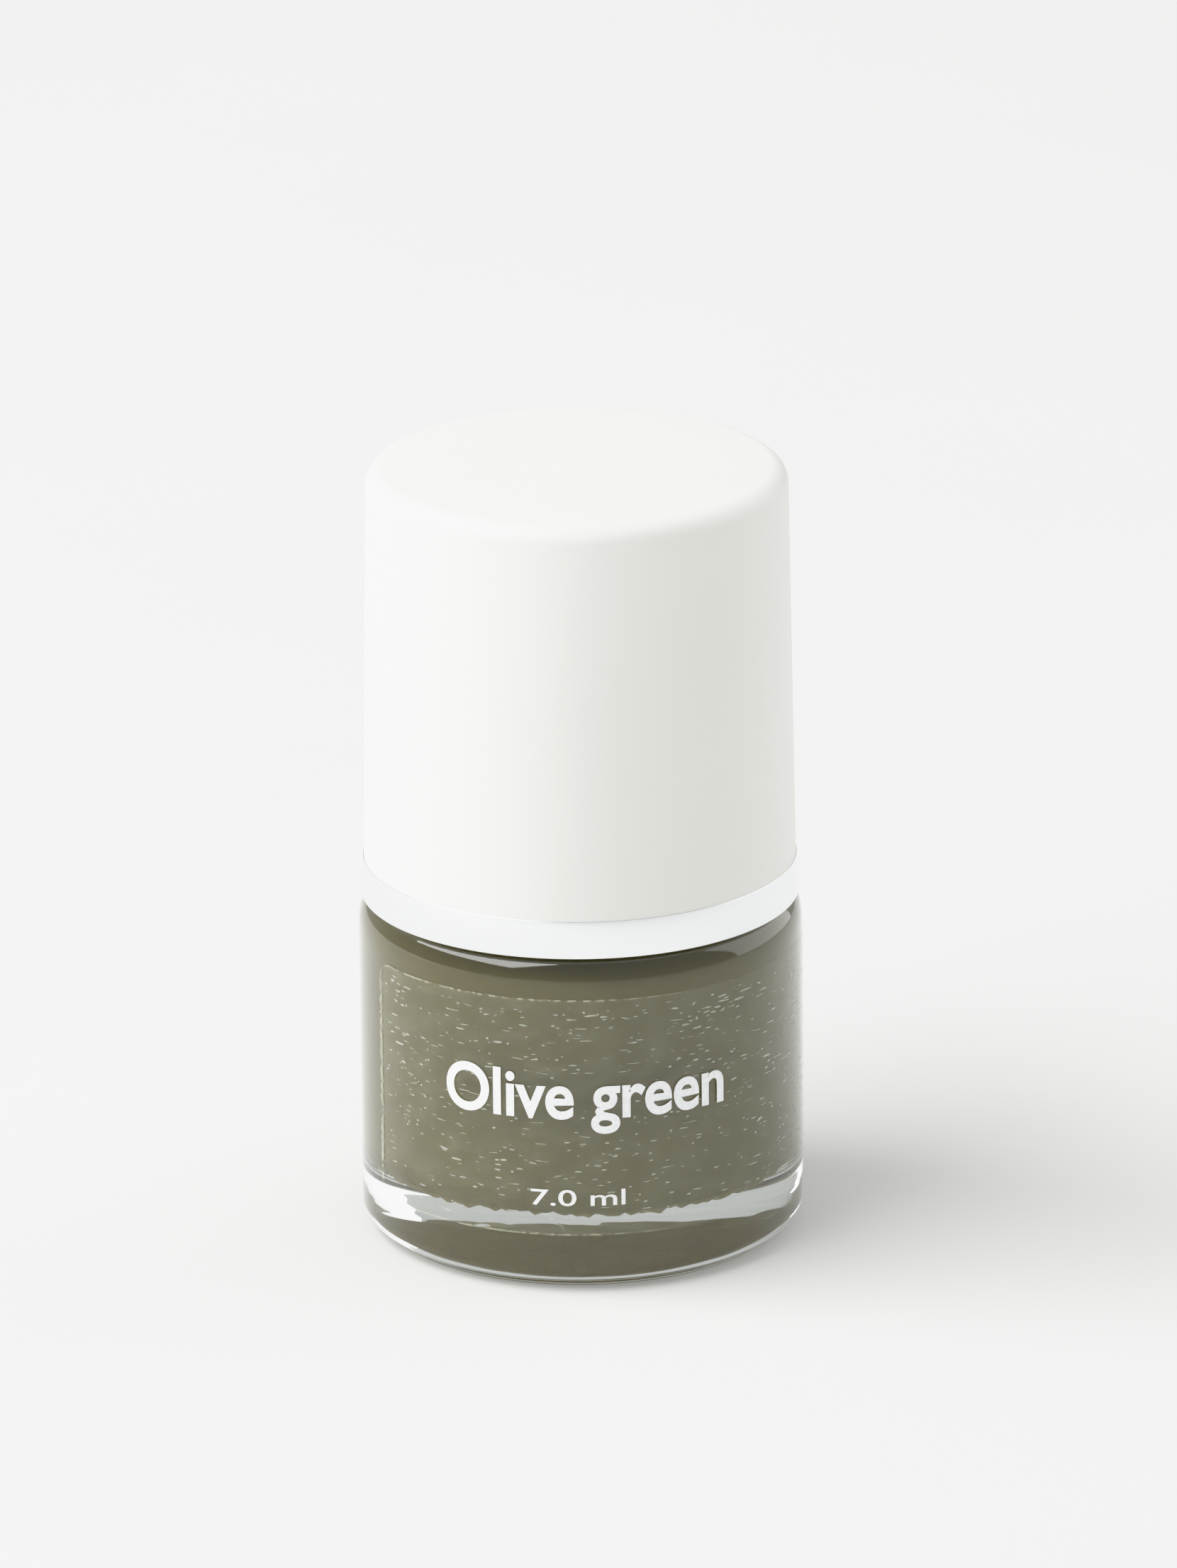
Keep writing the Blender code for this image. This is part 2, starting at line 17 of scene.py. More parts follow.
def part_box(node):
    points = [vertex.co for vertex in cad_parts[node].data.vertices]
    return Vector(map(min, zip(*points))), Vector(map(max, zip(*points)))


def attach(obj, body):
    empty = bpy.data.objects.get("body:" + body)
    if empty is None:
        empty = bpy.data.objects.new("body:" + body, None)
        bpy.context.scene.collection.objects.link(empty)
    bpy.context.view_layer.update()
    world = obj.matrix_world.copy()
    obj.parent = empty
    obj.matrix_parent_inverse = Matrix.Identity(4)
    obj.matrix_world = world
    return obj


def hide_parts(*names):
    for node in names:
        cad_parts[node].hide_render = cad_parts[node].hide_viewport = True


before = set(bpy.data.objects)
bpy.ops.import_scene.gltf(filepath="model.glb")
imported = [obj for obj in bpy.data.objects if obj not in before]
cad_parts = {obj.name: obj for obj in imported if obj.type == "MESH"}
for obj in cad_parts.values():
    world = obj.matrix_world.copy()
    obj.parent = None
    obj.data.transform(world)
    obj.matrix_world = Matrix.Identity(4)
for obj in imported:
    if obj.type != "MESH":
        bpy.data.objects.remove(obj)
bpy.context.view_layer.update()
MM = 0.001

# %% [markdown]
# ## Measures taken from the frame
#
# A turned piece needs only a few radii and heights. They are read from the boxes of the packed
# nodes, so the bright surfaces sit exactly where the working parts are.

# %% Radii and heights, in millimetres


def box_mm(node):
    """Largest radius, lowest height and highest height of a node that is centred on the Z axis."""
    low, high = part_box(node)
    return high[0] / MM, low[2] / MM, high[2] / MM


bottle_r, _, lip_z = box_mm("glass_bottle")
collar_r, collar_z, sleeve_z = box_mm("collar_ring")
cap_r, cap_z, top_z = box_mm("outer_cap")
inner_cap_z, boss_z = box_mm("inner_cap")[1:]
liner_r, liner_z, liner_top_z = box_mm("sealing_liner")
stem_z, spigot_z = box_mm("brush_stem")[1:]
tuft_r, tip_z, root_z = box_mm("bristles")
label_z, label_top_z = box_mm("wrap_label")[1:]
fill_z = box_mm("polish")[2]
print(f"bottle radius {bottle_r:.2f}, lip {lip_z:.2f}, collar {collar_z:.2f}, top {top_z:.2f} mm")

# %% [markdown]
# ## Camera
#
# A long lens from three quarters of a metre keeps the two ends of a small bottle almost the
# same width. The camera looks down at the label from 21 degrees and the bottle sits a little
# below the middle of an upright frame.

# %% Place the camera
CAMERA_DISTANCE = 731.7 * MM
CAMERA_LIFT = 0.25 * MM
ELEVATION = 0.3665
PAN, TILT, ROLL = -0.0008, 0.0370, 0.0086
FOCAL_RATIO = 16208 / 2212  # focal length over the frame's height


def place_camera():
    """Look at the bottle's foot, then pan about up, tilt about right and roll about the view."""
    across, up = math.cos(ELEVATION), math.sin(ELEVATION)
    eye = Vector((0, -CAMERA_DISTANCE * across, CAMERA_DISTANCE * up))
    forward = -eye.normalized()
    right = Vector((1, 0, 0))
    above = right.cross(forward)
    pan = Matrix.Rotation(PAN, 3, above)
    forward, right = pan @ forward, pan @ right
    tilt = Matrix.Rotation(TILT, 3, right)
    forward, above = tilt @ forward, tilt @ above
    roll = Matrix.Rotation(ROLL, 3, forward)
    right, above = roll @ right, roll @ above
    data = bpy.data.cameras.new("camera")
    data.sensor_width = 36.0
    data.lens = data.sensor_width * FOCAL_RATIO
    data.clip_start = 0.01
    camera = bpy.data.objects.new("camera", data)
    bpy.context.scene.collection.objects.link(camera)
    turn = Matrix((right, above, -forward)).transposed().to_4x4()
    camera.matrix_world = Matrix.Translation(eye + Vector((0, 0, CAMERA_LIFT))) @ turn
    bpy.context.scene.camera = camera
    return data.lens


print(f"lens {place_camera():.1f} mm")

# %% [markdown]
# ## A helper for shader nodes
#
# Colours are written as hex values and turned to linear light by one function. One more
# function adds any node with its settings and links, which keeps each material short. Patterns
# are noise on Object coordinates, so they stay put when a piece moves, and their scale is given
# in millimetres.

# %% Node helpers


def linear(hex_colour):
    """sRGB hex as linear RGBA: x / 12.92 below 0.04045, else ((x + 0.055) / 1.055) ** 2.4."""
    values = np.array([int(hex_colour[i : i + 2], 16) for i in (1, 3, 5)]) / 255
    light = np.where(values <= 0.04045, values / 12.92, ((values + 0.055) / 1.055) ** 2.4)
    return (*light.tolist(), 1.0)


def grey(value):
    """A neutral colour, for a socket that reads a colour as one number."""
    return (value, value, value, 1.0)


def add_node(tree, kind, inputs=None, stops=(), into=None, **settings):
    """Add a node. inputs maps a socket to a value or to another node's output, stops are the
    (position, colour) ends of a ramp, and into is the socket that the first output feeds."""
    node = tree.nodes.new(kind)
    for key, value in settings.items():
        setattr(node, key, value)
    for end, (position, colour) in enumerate(stops):
        node.color_ramp.elements[end].position = position
        node.color_ramp.elements[end].color = colour
    for socket, value in (inputs or {}).items():
        if isinstance(value, bpy.types.NodeSocket):
            tree.links.new(value, node.inputs[socket])
        else:
            node.inputs[socket].default_value = value
    if into is not None:
        tree.links.new(node.outputs[0], into)
    return node


def new_material(name, **sockets):
    """A material with one Principled shader. sockets are its values, with _ for a space."""
    made = bpy.data.materials.new(name)
    made.use_nodes = True
    shader = made.node_tree.nodes["Principled BSDF"]
    for key, value in sockets.items():
        shader.inputs[key.replace("_", " ")].default_value = value
    return made, made.node_tree, shader


def grain(tree, size_mm, stretch=(1, 1, 1), detail=2.0, vector=None):
    """Noise whose cells are about size_mm across, stretched along the object's axes."""
    place = vector or add_node(tree, "ShaderNodeTexCoord").outputs["Object"]
    scale = [1 / (size_mm * MM * s) for s in stretch]
    place = add_node(tree, "ShaderNodeMapping", {"Vector": place, "Scale": scale}).outputs["Vector"]
    noise = add_node(tree, "ShaderNodeTexNoise", {"Vector": place, "Scale": 1.0, "Detail": detail})
    return noise.outputs["Fac"]


# %% [markdown]
# ## Light
#
# A small white object on a pale table needs light that is soft but not flat. A big key from the
# upper left gives the one soft shadow, a weak fill comes from behind on the right, and a low
# light on the left warms up that side of the lacquer; it is kept out of reflections, where it
# would add a second highlight. The table is opal acrylic with a faint glow of its own, so
# that it stays nearly white. The view bends its brightest values over, as film does, and the
# white cap keeps its shading.

# %% Table, surround and lights
FLOOR_SIZE = 4.0
LIT_POINT = (0, 0, 0.02)
KEY_PLACE = (-0.61, -0.21, 0.81)
KEY_SIZE = (1.15, 0.62)
KEY_POWER = 12.5
FILL_PLACE = (0.85, 0.35, 0.33)
FILL_SIZE = (1.0, 1.0)
FILL_POWER = 4.2
SIDE_PLACE = (-0.9, 0.05, 0.25)
SIDE_SIZE = (0.6, 0.4)
SIDE_POWER = 4.0
SURROUND = 0.52
TABLE_GLOW = 0.16
SHOULDER_CURVE = [
    (0, 0),
    (0.7, 0.7),
    (0.82, 0.79),
    (0.95, 0.868),
    (1.08, 0.905),
    (1.22, 0.927),
    (1.5, 0.945),
    (2.6, 1),
]


def area_light(name, place, size, power):
    """A white rectangular light at place that faces the bottle; size is its width and height."""
    data = bpy.data.lights.new(name, "AREA")
    data.shape = "RECTANGLE"
    data.size, data.size_y = size
    data.energy = power
    light = bpy.data.objects.new(name, data)
    light.location = place
    light.rotation_euler = (Vector(LIT_POINT) - Vector(place)).to_track_quat("-Z", "Y").to_euler()
    bpy.context.scene.collection.objects.link(light)
    return light


def paint_floor():
    """Opal acrylic light table: matt, lit softly from below, with a faint cloudiness."""
    made, tree, shader = new_material("opal_acrylic_table", Roughness=0.9)
    shader.inputs["Emission Color"].default_value = linear("#FFFFFD")
    shader.inputs["Emission Strength"].default_value = TABLE_GLOW
    shader.inputs["Specular IOR Level"].default_value = 0.2
    ends = [(0.3, linear("#CDCDCB")), (0.7, linear("#CFCFCD"))]
    cloud = grain(tree, 40.0, detail=3.0)
    add_node(tree, "ShaderNodeValToRGB", {0: cloud}, ends, shader.inputs["Base Color"])
    return made


def make_studio():
    """A table, a pale surround, the key, the low side light and the fill."""
    mesh = bpy.data.meshes.new("floor")
    half = FLOOR_SIZE / 2
    corners = [(-half, -half, 0), (half, -half, 0), (half, half, 0), (-half, half, 0)]
    mesh.from_pydata(corners, [], [(0, 1, 2, 3)])
    floor = bpy.data.objects.new("floor", mesh)
    bpy.context.scene.collection.objects.link(floor)
    mesh.materials.append(paint_floor())
    world = bpy.data.worlds.new("surround")
    bpy.context.scene.world = world
    world.use_nodes = True
    back = world.node_tree.nodes["Background"]
    back.inputs["Color"].default_value = linear("#FCFEFF")
    back.inputs["Strength"].default_value = SURROUND
    area_light("key", KEY_PLACE, KEY_SIZE, KEY_POWER)
    side = area_light("side", SIDE_PLACE, SIDE_SIZE, SIDE_POWER)
    side.visible_glossy = False
    area_light("fill", FILL_PLACE, FILL_SIZE, FILL_POWER)


def soften_highlights():
    """Standard view, linear to 0.7; above it each step of light counts for less, as on film."""
    view = bpy.context.scene.view_settings
    view.view_transform = "Standard"
    view.use_curve_mapping = True
    curves = view.curve_mapping
    curves.clip_max_x = SHOULDER_CURVE[-1][0]
    curve = curves.curves[3]
    curve.points[1].location = SHOULDER_CURVE[-1]
    for x, y in SHOULDER_CURVE[1:-1]:
        curve.points.new(x, y)
    curves.update()


make_studio()
soften_highlights()
print("studio ready")

# %% [markdown]
# ## Turned surfaces
#
# Almost every piece here is round. Its outline is a few corners in the plane of radius and
# height, each with its own rounding, and the outline is swept once round the axis. Corners
# are given rounding because a moulded or turned edge always catches a line of light.

# %% Outline and sweep


def rounded(corners, steps=5):
    """Outline with arcs: a corner (r, z, radius) becomes an arc tangent to both its sides."""
    points = []
    plain = [np.array(c[:2], float) for c in corners]
    for i, corner in enumerate(corners):
        radius = corner[2] if len(corner) > 2 else 0.0
        here = plain[i]
        if not radius:
            points.append(here[None])
            continue
        back = plain[i - 1] - here
        ahead = plain[(i + 1) % len(plain)] - here
        back, ahead = back / np.linalg.norm(back), ahead / np.linalg.norm(ahead)
        half = math.acos(float(np.clip(back @ ahead, -1, 1))) / 2
        middle = (back + ahead) / np.linalg.norm(back + ahead)
        centre = here + middle * radius / math.sin(half)
        start = here + back * radius / math.tan(half) - centre
        stop = here + ahead * radius / math.tan(half) - centre
        t = np.linspace(0, 1, steps + 1)[:, None]
        angle = math.pi - 2 * half
        arc = (np.sin((1 - t) * angle) * start + np.sin(t * angle) * stop) / math.sin(angle)
        points.append(centre + arc)
    return np.vstack(points)


def sweep(outline, segments, closed):
    """Grid of (r cos a, r sin a, z) over the outline and the angles, with poles where r is 0."""
    angles = np.arange(segments) * math.tau / segments
    radius, height = outline[:, 0:1] * MM, outline[:, 1:2] * MM
    grid = np.stack([radius * np.cos(angles), radius * np.sin(angles), height + 0 * angles], 2)
    rows = len(outline)
    index = np.arange(rows * segments).reshape(rows, segments)
    pole = outline[:, 0] < 1e-9
    index[pole] = index[pole][:, :1]
    lower = index if closed else index[:-1]
    upper = np.roll(index, -1, 0) if closed else index[1:]
    quads = np.stack([lower, upper, np.roll(upper, -1, 1), np.roll(lower, -1, 1)], 2).reshape(-1, 4)
    return grid, quads


def mesh_from(name, grid, quads, material, body, replaced=(), sharp=32):
    """A piece from a vertex grid and its faces, without repeated corners or unused points."""
    points = grid.reshape(-1, 3)
    flat = (quads[:, 0] == quads[:, 3]) | (quads[:, 1] == quads[:, 2])
    whole = quads[~flat]
    thin = quads[flat]
    keep = (thin[:, 0] != thin[:, 1]) & ~((thin[:, 0] == thin[:, 3]) & (thin[:, 1] == thin[:, 2]))
    thin = thin[keep]
    corners = np.where((thin[:, 0] == thin[:, 3])[:, None], thin[:, [0, 1, 2]], thin[:, [0, 1, 3]])
    used, packed = np.unique(np.concatenate([whole.ravel(), corners.ravel()]), return_inverse=True)
    fours, threes = packed[: whole.size].reshape(-1, 4), packed[whole.size :].reshape(-1, 3)
    faces = fours.tolist() + threes.tolist()
    mesh = bpy.data.meshes.new(name)
    mesh.from_pydata(points[used].tolist(), [], faces)
    mesh.shade_smooth()
    mesh.set_sharp_from_angle(angle=math.radians(sharp))
    mesh.materials.append(material)
    return place_piece(bpy.data.objects.new(name, mesh), body, replaced)


def place_piece(piece, body, replaced=()):
    """Link a finished piece, hang it on its body's empty and hide the nodes it stands for."""
    bpy.context.scene.collection.objects.link(piece)
    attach(piece, body)
    if replaced:
        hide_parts(*replaced)
    print(f"{piece.name}: {len(piece.data.polygons)} faces on {body}")
    return piece


def turned(name, outline, material, body, replaced=(), closed=False, segments=160):
    """A turned piece: the outline runs down the outer side."""
    grid, quads = sweep(outline, segments, closed)
    return mesh_from(name, grid, quads, material, body, replaced)


# %% [markdown]
# ## The glass bottle
#
# Flint glass is moulded, so its walls are thick and a little uneven: the base is a heavy lens,
# the floor inside is slightly wavy, and the shoulder is a soft superellipse. The thread is not
# a separate wire: it is a raised bead on the same skin, so the neck's radius is a function of
# both the height and the angle. A thin clear coat in the material makes the glass shine a little
# more where it is seen at a slant.

# %% Glass material


def glass_material():
    """Flint glass, blown in a mould: clear, a trace of green, faintly wavy where it cooled."""
    made, tree, shader = new_material("flint_glass_moulded", IOR=1.52, Roughness=0.0)
    shader.inputs["Base Color"].default_value = linear("#F6FAF6")
    shader.inputs["Transmission Weight"].default_value = 1.0
    shader.inputs["Coat Weight"].default_value = 1.0
    shader.inputs["Coat IOR"].default_value = 1.3
    shader.inputs["Coat Roughness"].default_value = 0.12
    waves = {"Height": grain(tree, 7.0, detail=1.0), "Distance": 0.02 * MM, "Strength": 0.35}
    add_node(tree, "ShaderNodeBump", waves, into=shader.inputs["Normal"])
    return made


# %% Glass shape
GLASS_WALL = 2.0
FLOOR_Z = 4.3
FLOOR_FILLET = 2.0
STRAIGHT_Z = 19.4
SHOULDER_Z = 23.0
SHOULDER_WALL = 1.6
SHOULDER_STEPS = 26
FOOT_RISE = 0.4
DOME_STEP = 0.35
PUSH_UP = 1.35
NECK_ROOT = 5.75
BORE = 3.5
PITCH = 2.12
THREAD_START = lip_z - 2.2
THREAD_BEAD = 0.7
THREAD_TURNS = 1.5
THREAD_RUN_OUT = 0.6  # radians over which the thread fades in and out
THREAD_ENTRY = math.radians(20)  # where it begins, as an angle from +X
FLOOR_WAVES = [  # height in mm, waves in a turn, phase
    (0.09, 3, 0.7),
    (0.06, 7, 2.0),
    (0.035, 17, 0.0),
    (0.05, 29, 1.0),
    (0.08, 47, 2.2),
    (0.08, 83, 0.0),
]
RIPPLE = 0.008


def superellipse(inner, outer, low, rise, fullness, steps):
    """Quarter of |x|^n + |z|^n = 1 from the top at inner to the side at outer."""
    a = np.linspace(math.pi / 2, 0, steps)
    across = np.cos(a).clip(0, 1) ** (2 / fullness)
    up = np.sin(a).clip(0, 1) ** (2 / fullness)
    return np.stack([inner + (outer - inner) * across, low + rise * up], 1)


def inner_shoulder(inner):
    """The shoulder's inside, from the bore out to the wall at radius inner."""
    low = STRAIGHT_Z - 0.5
    rise = SHOULDER_Z - SHOULDER_WALL - low
    return superellipse(BORE + 0.6, inner, low, rise, 3.0, SHOULDER_STEPS)


def inner_floor(inner, low):
    """Wall from below the shoulder, rounded corner, and floor at height low as far as the axis."""
    corner = FLOOR_FILLET + FLOOR_Z - low
    return rounded([(inner, STRAIGHT_Z - 2), (inner, low, corner), (0, low)], 14)[1:]


def inner_outline():
    """Bore, inner shoulder, wall and floor, from below the lip to the middle of the floor."""
    inner = bottle_r - GLASS_WALL
    throat = np.array([(BORE, SHOULDER_Z - 0.9), (BORE + 0.2, SHOULDER_Z - 1.35)])
    return np.vstack([throat, inner_shoulder(inner), inner_floor(inner, FLOOR_Z)])


def outer_outline():
    """Lip, neck, shoulder, wall, heel, foot ring and domed underside, down to the middle."""
    lip_low = lip_z - 1
    lip_corners = [(BORE, lip_low), (BORE, lip_z, 0.5), (NECK_ROOT, lip_z, 0.5), (NECK_ROOT, lip_low)]
    lip = rounded(lip_corners, 6)
    neck_z = np.linspace(lip_z - 1.0, SHOULDER_Z + 0.5, 90)
    neck = np.stack([np.full_like(neck_z, NECK_ROOT), neck_z], 1)
    fillet = np.array([(NECK_ROOT + 0.06, SHOULDER_Z + 0.24), (NECK_ROOT + 0.22, SHOULDER_Z + 0.06)])
    shoulder = superellipse(NECK_ROOT + 0.4, bottle_r, STRAIGHT_Z, SHOULDER_Z - STRAIGHT_Z, 3.5, 40)
    wall_z = np.linspace(STRAIGHT_Z - 0.4, 1.9, 24)
    wall = np.stack([np.full_like(wall_z, bottle_r), wall_z], 1)
    foot = rounded(
        [
            (bottle_r, 2.0),
            (bottle_r, FOOT_RISE, 1.3),
            (bottle_r - 1.38, FOOT_RISE, 0.1),
            (bottle_r - 1.4, 0, 0.12),
            (bottle_r - 2.2, 0, 0.12),
            (bottle_r - 2.9, DOME_STEP),
        ],
        8,
    )
    reach = np.linspace(bottle_r - 2.9, 0, 28)
    dome = np.stack([reach, DOME_STEP + (PUSH_UP - DOME_STEP) * (1 - (reach / reach[0]) ** 2)], 1)
    return np.vstack([lip[1:-1], neck, fillet, shoulder, wall, foot[1:-1], dome])


def helix_rise(height, angle, bead_mm):
    """How far a bead stands up: sqrt(b^2 - d^2), d being the height off a line that winds down."""
    rise = np.zeros_like(height)
    for turn in range(2):
        along = angle + turn * math.tau
        left = np.minimum(along, THREAD_TURNS * math.tau - along)
        bead = bead_mm * np.clip(left / THREAD_RUN_OUT, 0, 1) ** 0.5
        line = THREAD_START - PITCH * along / math.tau
        rise = np.maximum(rise, np.sqrt(np.clip(bead**2 - (height - line) ** 2, 0, None)))
    return rise


def thread_bead(grid):
    """Raise the neck along the helix; everything that is not on the neck's radius stays."""
    x, y, z = (grid[..., k] / MM for k in range(3))
    radius = np.hypot(x, y)
    angle = np.mod(THREAD_ENTRY - np.arctan2(y, x), math.tau)
    rise = helix_rise(z, angle, THREAD_BEAD)
    on_neck = np.abs(radius - NECK_ROOT) < 0.01
    grid[..., :2] *= np.where(on_neck, (radius + rise) / np.maximum(radius, 1e-9), 1.0)[..., None]


def uneven_floor(grid):
    """Lift the floor near the wall by a sum of sines of the angle, and ripple the underside."""
    x, y, height = (grid[..., k] / MM for k in range(3))
    angle, radius = np.arctan2(y, x), np.hypot(x, y)
    wave = sum(lift * np.sin(count * angle + phase) for lift, count, phase in FLOOR_WAVES)
    inside = (radius < bottle_r - GLASS_WALL + 0.2) & (height > FLOOR_Z - 0.3)
    fade = np.clip((radius - 8.0) / 2.5, 0, 1) * np.clip((FLOOR_Z + 3.0 - height) / 2.5, 0, 1)
    ripple = np.sin(0.9 * x + 1.2 * np.sin(0.5 * y)) * np.sin(2.4 * y + 1.3 * np.sin(0.7 * x))
    under = (radius < bottle_r - 3.2) & (height < PUSH_UP + 0.1)
    grid[..., 2] += (np.where(inside, wave * fade, 0) + np.where(under, RIPPLE * ripple, 0)) * MM


def make_bottle():
    """Join the inner and the outer skins at the lip in one closed outline."""
    outline = np.vstack([outer_outline()[::-1], inner_outline()])[::-1]
    grid, quads = sweep(outline, 240, False)
    thread_bead(grid)
    uneven_floor(grid)
    node = ["glass_bottle"]
    return mesh_from("glass_bottle_skin", grid, quads, glass_material(), "bottle", node)


make_bottle()

# %% [markdown]
# ## The polish
#
# Cream lacquer is opaque, so it only shows its skin: where it wets the glass there is no air
# gap and no gloss of its own, and the thick round wall magnifies it to nearly the bottle's
# full width. The skin therefore runs a few hundredths into the glass. The free surface above
# is glossy and clings up the inner shoulder.

# %% Polish materials


def wetting_polish():
    """Cream nitrocellulose lacquer against glass: faint drifts, no gloss, and paler at the floor as
    painted light for the band seen through the base.
    """
    made, tree, shader = new_material("olive_lacquer_on_glass", Roughness=0.6)
    shader.inputs["Specular IOR Level"].default_value = 0.0
    drift = grain(tree, 9.0, (1, 1, 0.5), 3.0)
    ends = [(0.3, linear("#71693F")), (0.7, linear("#766D43"))]
    skin = add_node(tree, "ShaderNodeValToRGB", {0: drift}, ends).outputs["Color"]
    # Painted light: below the floor's edge the lacquer turns paler, standing in for the bright band
    # seen through the glass base.
    place = add_node(tree, "ShaderNodeTexCoord").outputs["Object"]
    height = add_node(tree, "ShaderNodeSeparateXYZ", {0: place}).outputs["Z"]
    low, high = (FLOOR_Z + 0.1) * MM, (FLOOR_Z + 0.5) * MM
    span = {"Value": height, "From Min": low, "From Max": high, "To Min": 1.0, "To Max": 0.0}
    painted_floor_light = add_node(tree, "ShaderNodeMapRange", span).outputs["Result"]
    colours = {"Factor": painted_floor_light, 6: skin, 7: linear("#93895C")}  # 6 and 7 are the two colours
    mixed = add_node(tree, "ShaderNodeMix", colours, data_type="RGBA").outputs[2]
    tree.links.new(mixed, shader.inputs["Base Color"])
    return made


def free_polish():
    """The same lacquer where it meets air: a glossy liquid skin."""
    made, tree, shader = new_material("olive_lacquer_wet", IOR=1.47, Roughness=0.08)
    ends = [(0.3, linear("#77704A")), (0.7, linear("#7B744E"))]
    drift = grain(tree, 6.0, (1, 1, 1), 2.0)
    add_node(tree, "ShaderNodeValToRGB", {0: drift}, ends, shader.inputs["Base Color"])
    return made


# %% Polish shape
WETTING = 0.05


def make_polish():
    """The lacquer's skin follows the inner wall at WETTING deeper, and curls up at the top."""
    inner = bottle_r - GLASS_WALL + WETTING
    shoulder = inner_shoulder(inner)
    shoulder[:, 1] += WETTING * np.linspace(1, 0, SHOULDER_STEPS)
    level = [(0.0, 0.0), (8.5, 0.0), (10.2, 0.08), (10.6, 0.4), (9.0, 0.78)]  # radius, rise
    surface = np.array([(r, fill_z + rise) for r, rise in level] + [(6.2, SHOULDER_Z - 1.66)])
    climb = shoulder[shoulder[:, 0] > 6.0]
    outline = np.vstack([surface, climb, inner_floor(inner, FLOOR_Z - WETTING)])
    grid, quads = sweep(outline, 192, False)
    uneven_floor(grid)
    skin = wetting_polish()
    piece = mesh_from("polish_body", grid, quads, skin, "bottle", ["polish"])
    piece.data.materials.append(free_polish())
    centres = np.zeros((len(piece.data.polygons), 3))
    piece.data.polygons.foreach_get("center", centres.ravel())
    reach = np.hypot(centres[:, 0], centres[:, 1]) / MM
    open_top = (centres[:, 2] / MM > fill_z - 0.01) & (reach < 10.62)
    piece.data.polygons.foreach_set("material_index", open_top.astype(np.int32))
    return piece


make_polish()

# %% [markdown]
# ## The film label
#
# A clear film is wrapped most of the way round the straight wall. Film never sticks perfectly:
# where tiny pockets of air are left under it they show as pale dashes, drawn out sideways by
# the roller that laid it. Its cut edge is drawn as a pale hairline, a painted highlight that
# is strongest on the left and front.

# %% Film material


def film_material():
    """Clear polypropylene film on acrylic glue, roller-laid: a faint, uneven haze, and a painted
    highlight on the cut edges.
    """
    made, tree, shader = new_material("clear_polypropylene_film", Roughness=0.35)
    shader.inputs["Base Color"].default_value = linear("#DCDDC8")
    shader.inputs["Specular IOR Level"].default_value = 0.3
    place = add_node(tree, "ShaderNodeUVMap", uv_map="unrolled").outputs["UV"]
    cloud = grain(tree, 1.1, (1.8, 1, 1), 3.0, place)
    broken = grain(tree, 0.45, (1, 1, 1), 1.0, place)
    ends = [(0.40, grey(0.02)), (0.75, grey(0.05))]
    haze = add_node(tree, "ShaderNodeValToRGB", {0: cloud}, ends).outputs["Color"]
    ends = [(0.40, grey(0.05)), (0.58, grey(0.42))]
    gaps = add_node(tree, "ShaderNodeValToRGB", {0: broken}, ends).outputs["Color"]
    # The edge attribute is a painted highlight along the film's cut edges, broken into gaps.
    edge = add_node(tree, "ShaderNodeAttribute", attribute_name="edge").outputs["Fac"]
    rim = add_node(tree, "ShaderNodeMath", {0: edge, 1: gaps}, operation="MULTIPLY").outputs[0]
    shown = {0: haze, 1: rim}
    add_node(tree, "ShaderNodeMath", shown, into=shader.inputs["Alpha"], operation="MAXIMUM")
    return made


# %% Film shape
LABEL_START = -63.6
LABEL_SPAN = 290.0
LABEL_CORNER = 1.3
# Strengths of the painted highlight on the film's two cut ends.
LEFT_END_HIGHLIGHT, RIGHT_END_HIGHLIGHT = 0.8, 0.55  # how clearly the film's two cut ends show
FILM_IN = bottle_r + 0.055
FILM_OUT = bottle_r + 0.10


def on_wall(arc_mm, height, radius):
    """Point at an arc length from the front, towards +X: its angle is the arc over the radius."""
    angle = arc_mm / bottle_r
    return np.stack([radius * np.sin(angle) * MM, -radius * np.cos(angle) * MM, height * MM], -1)


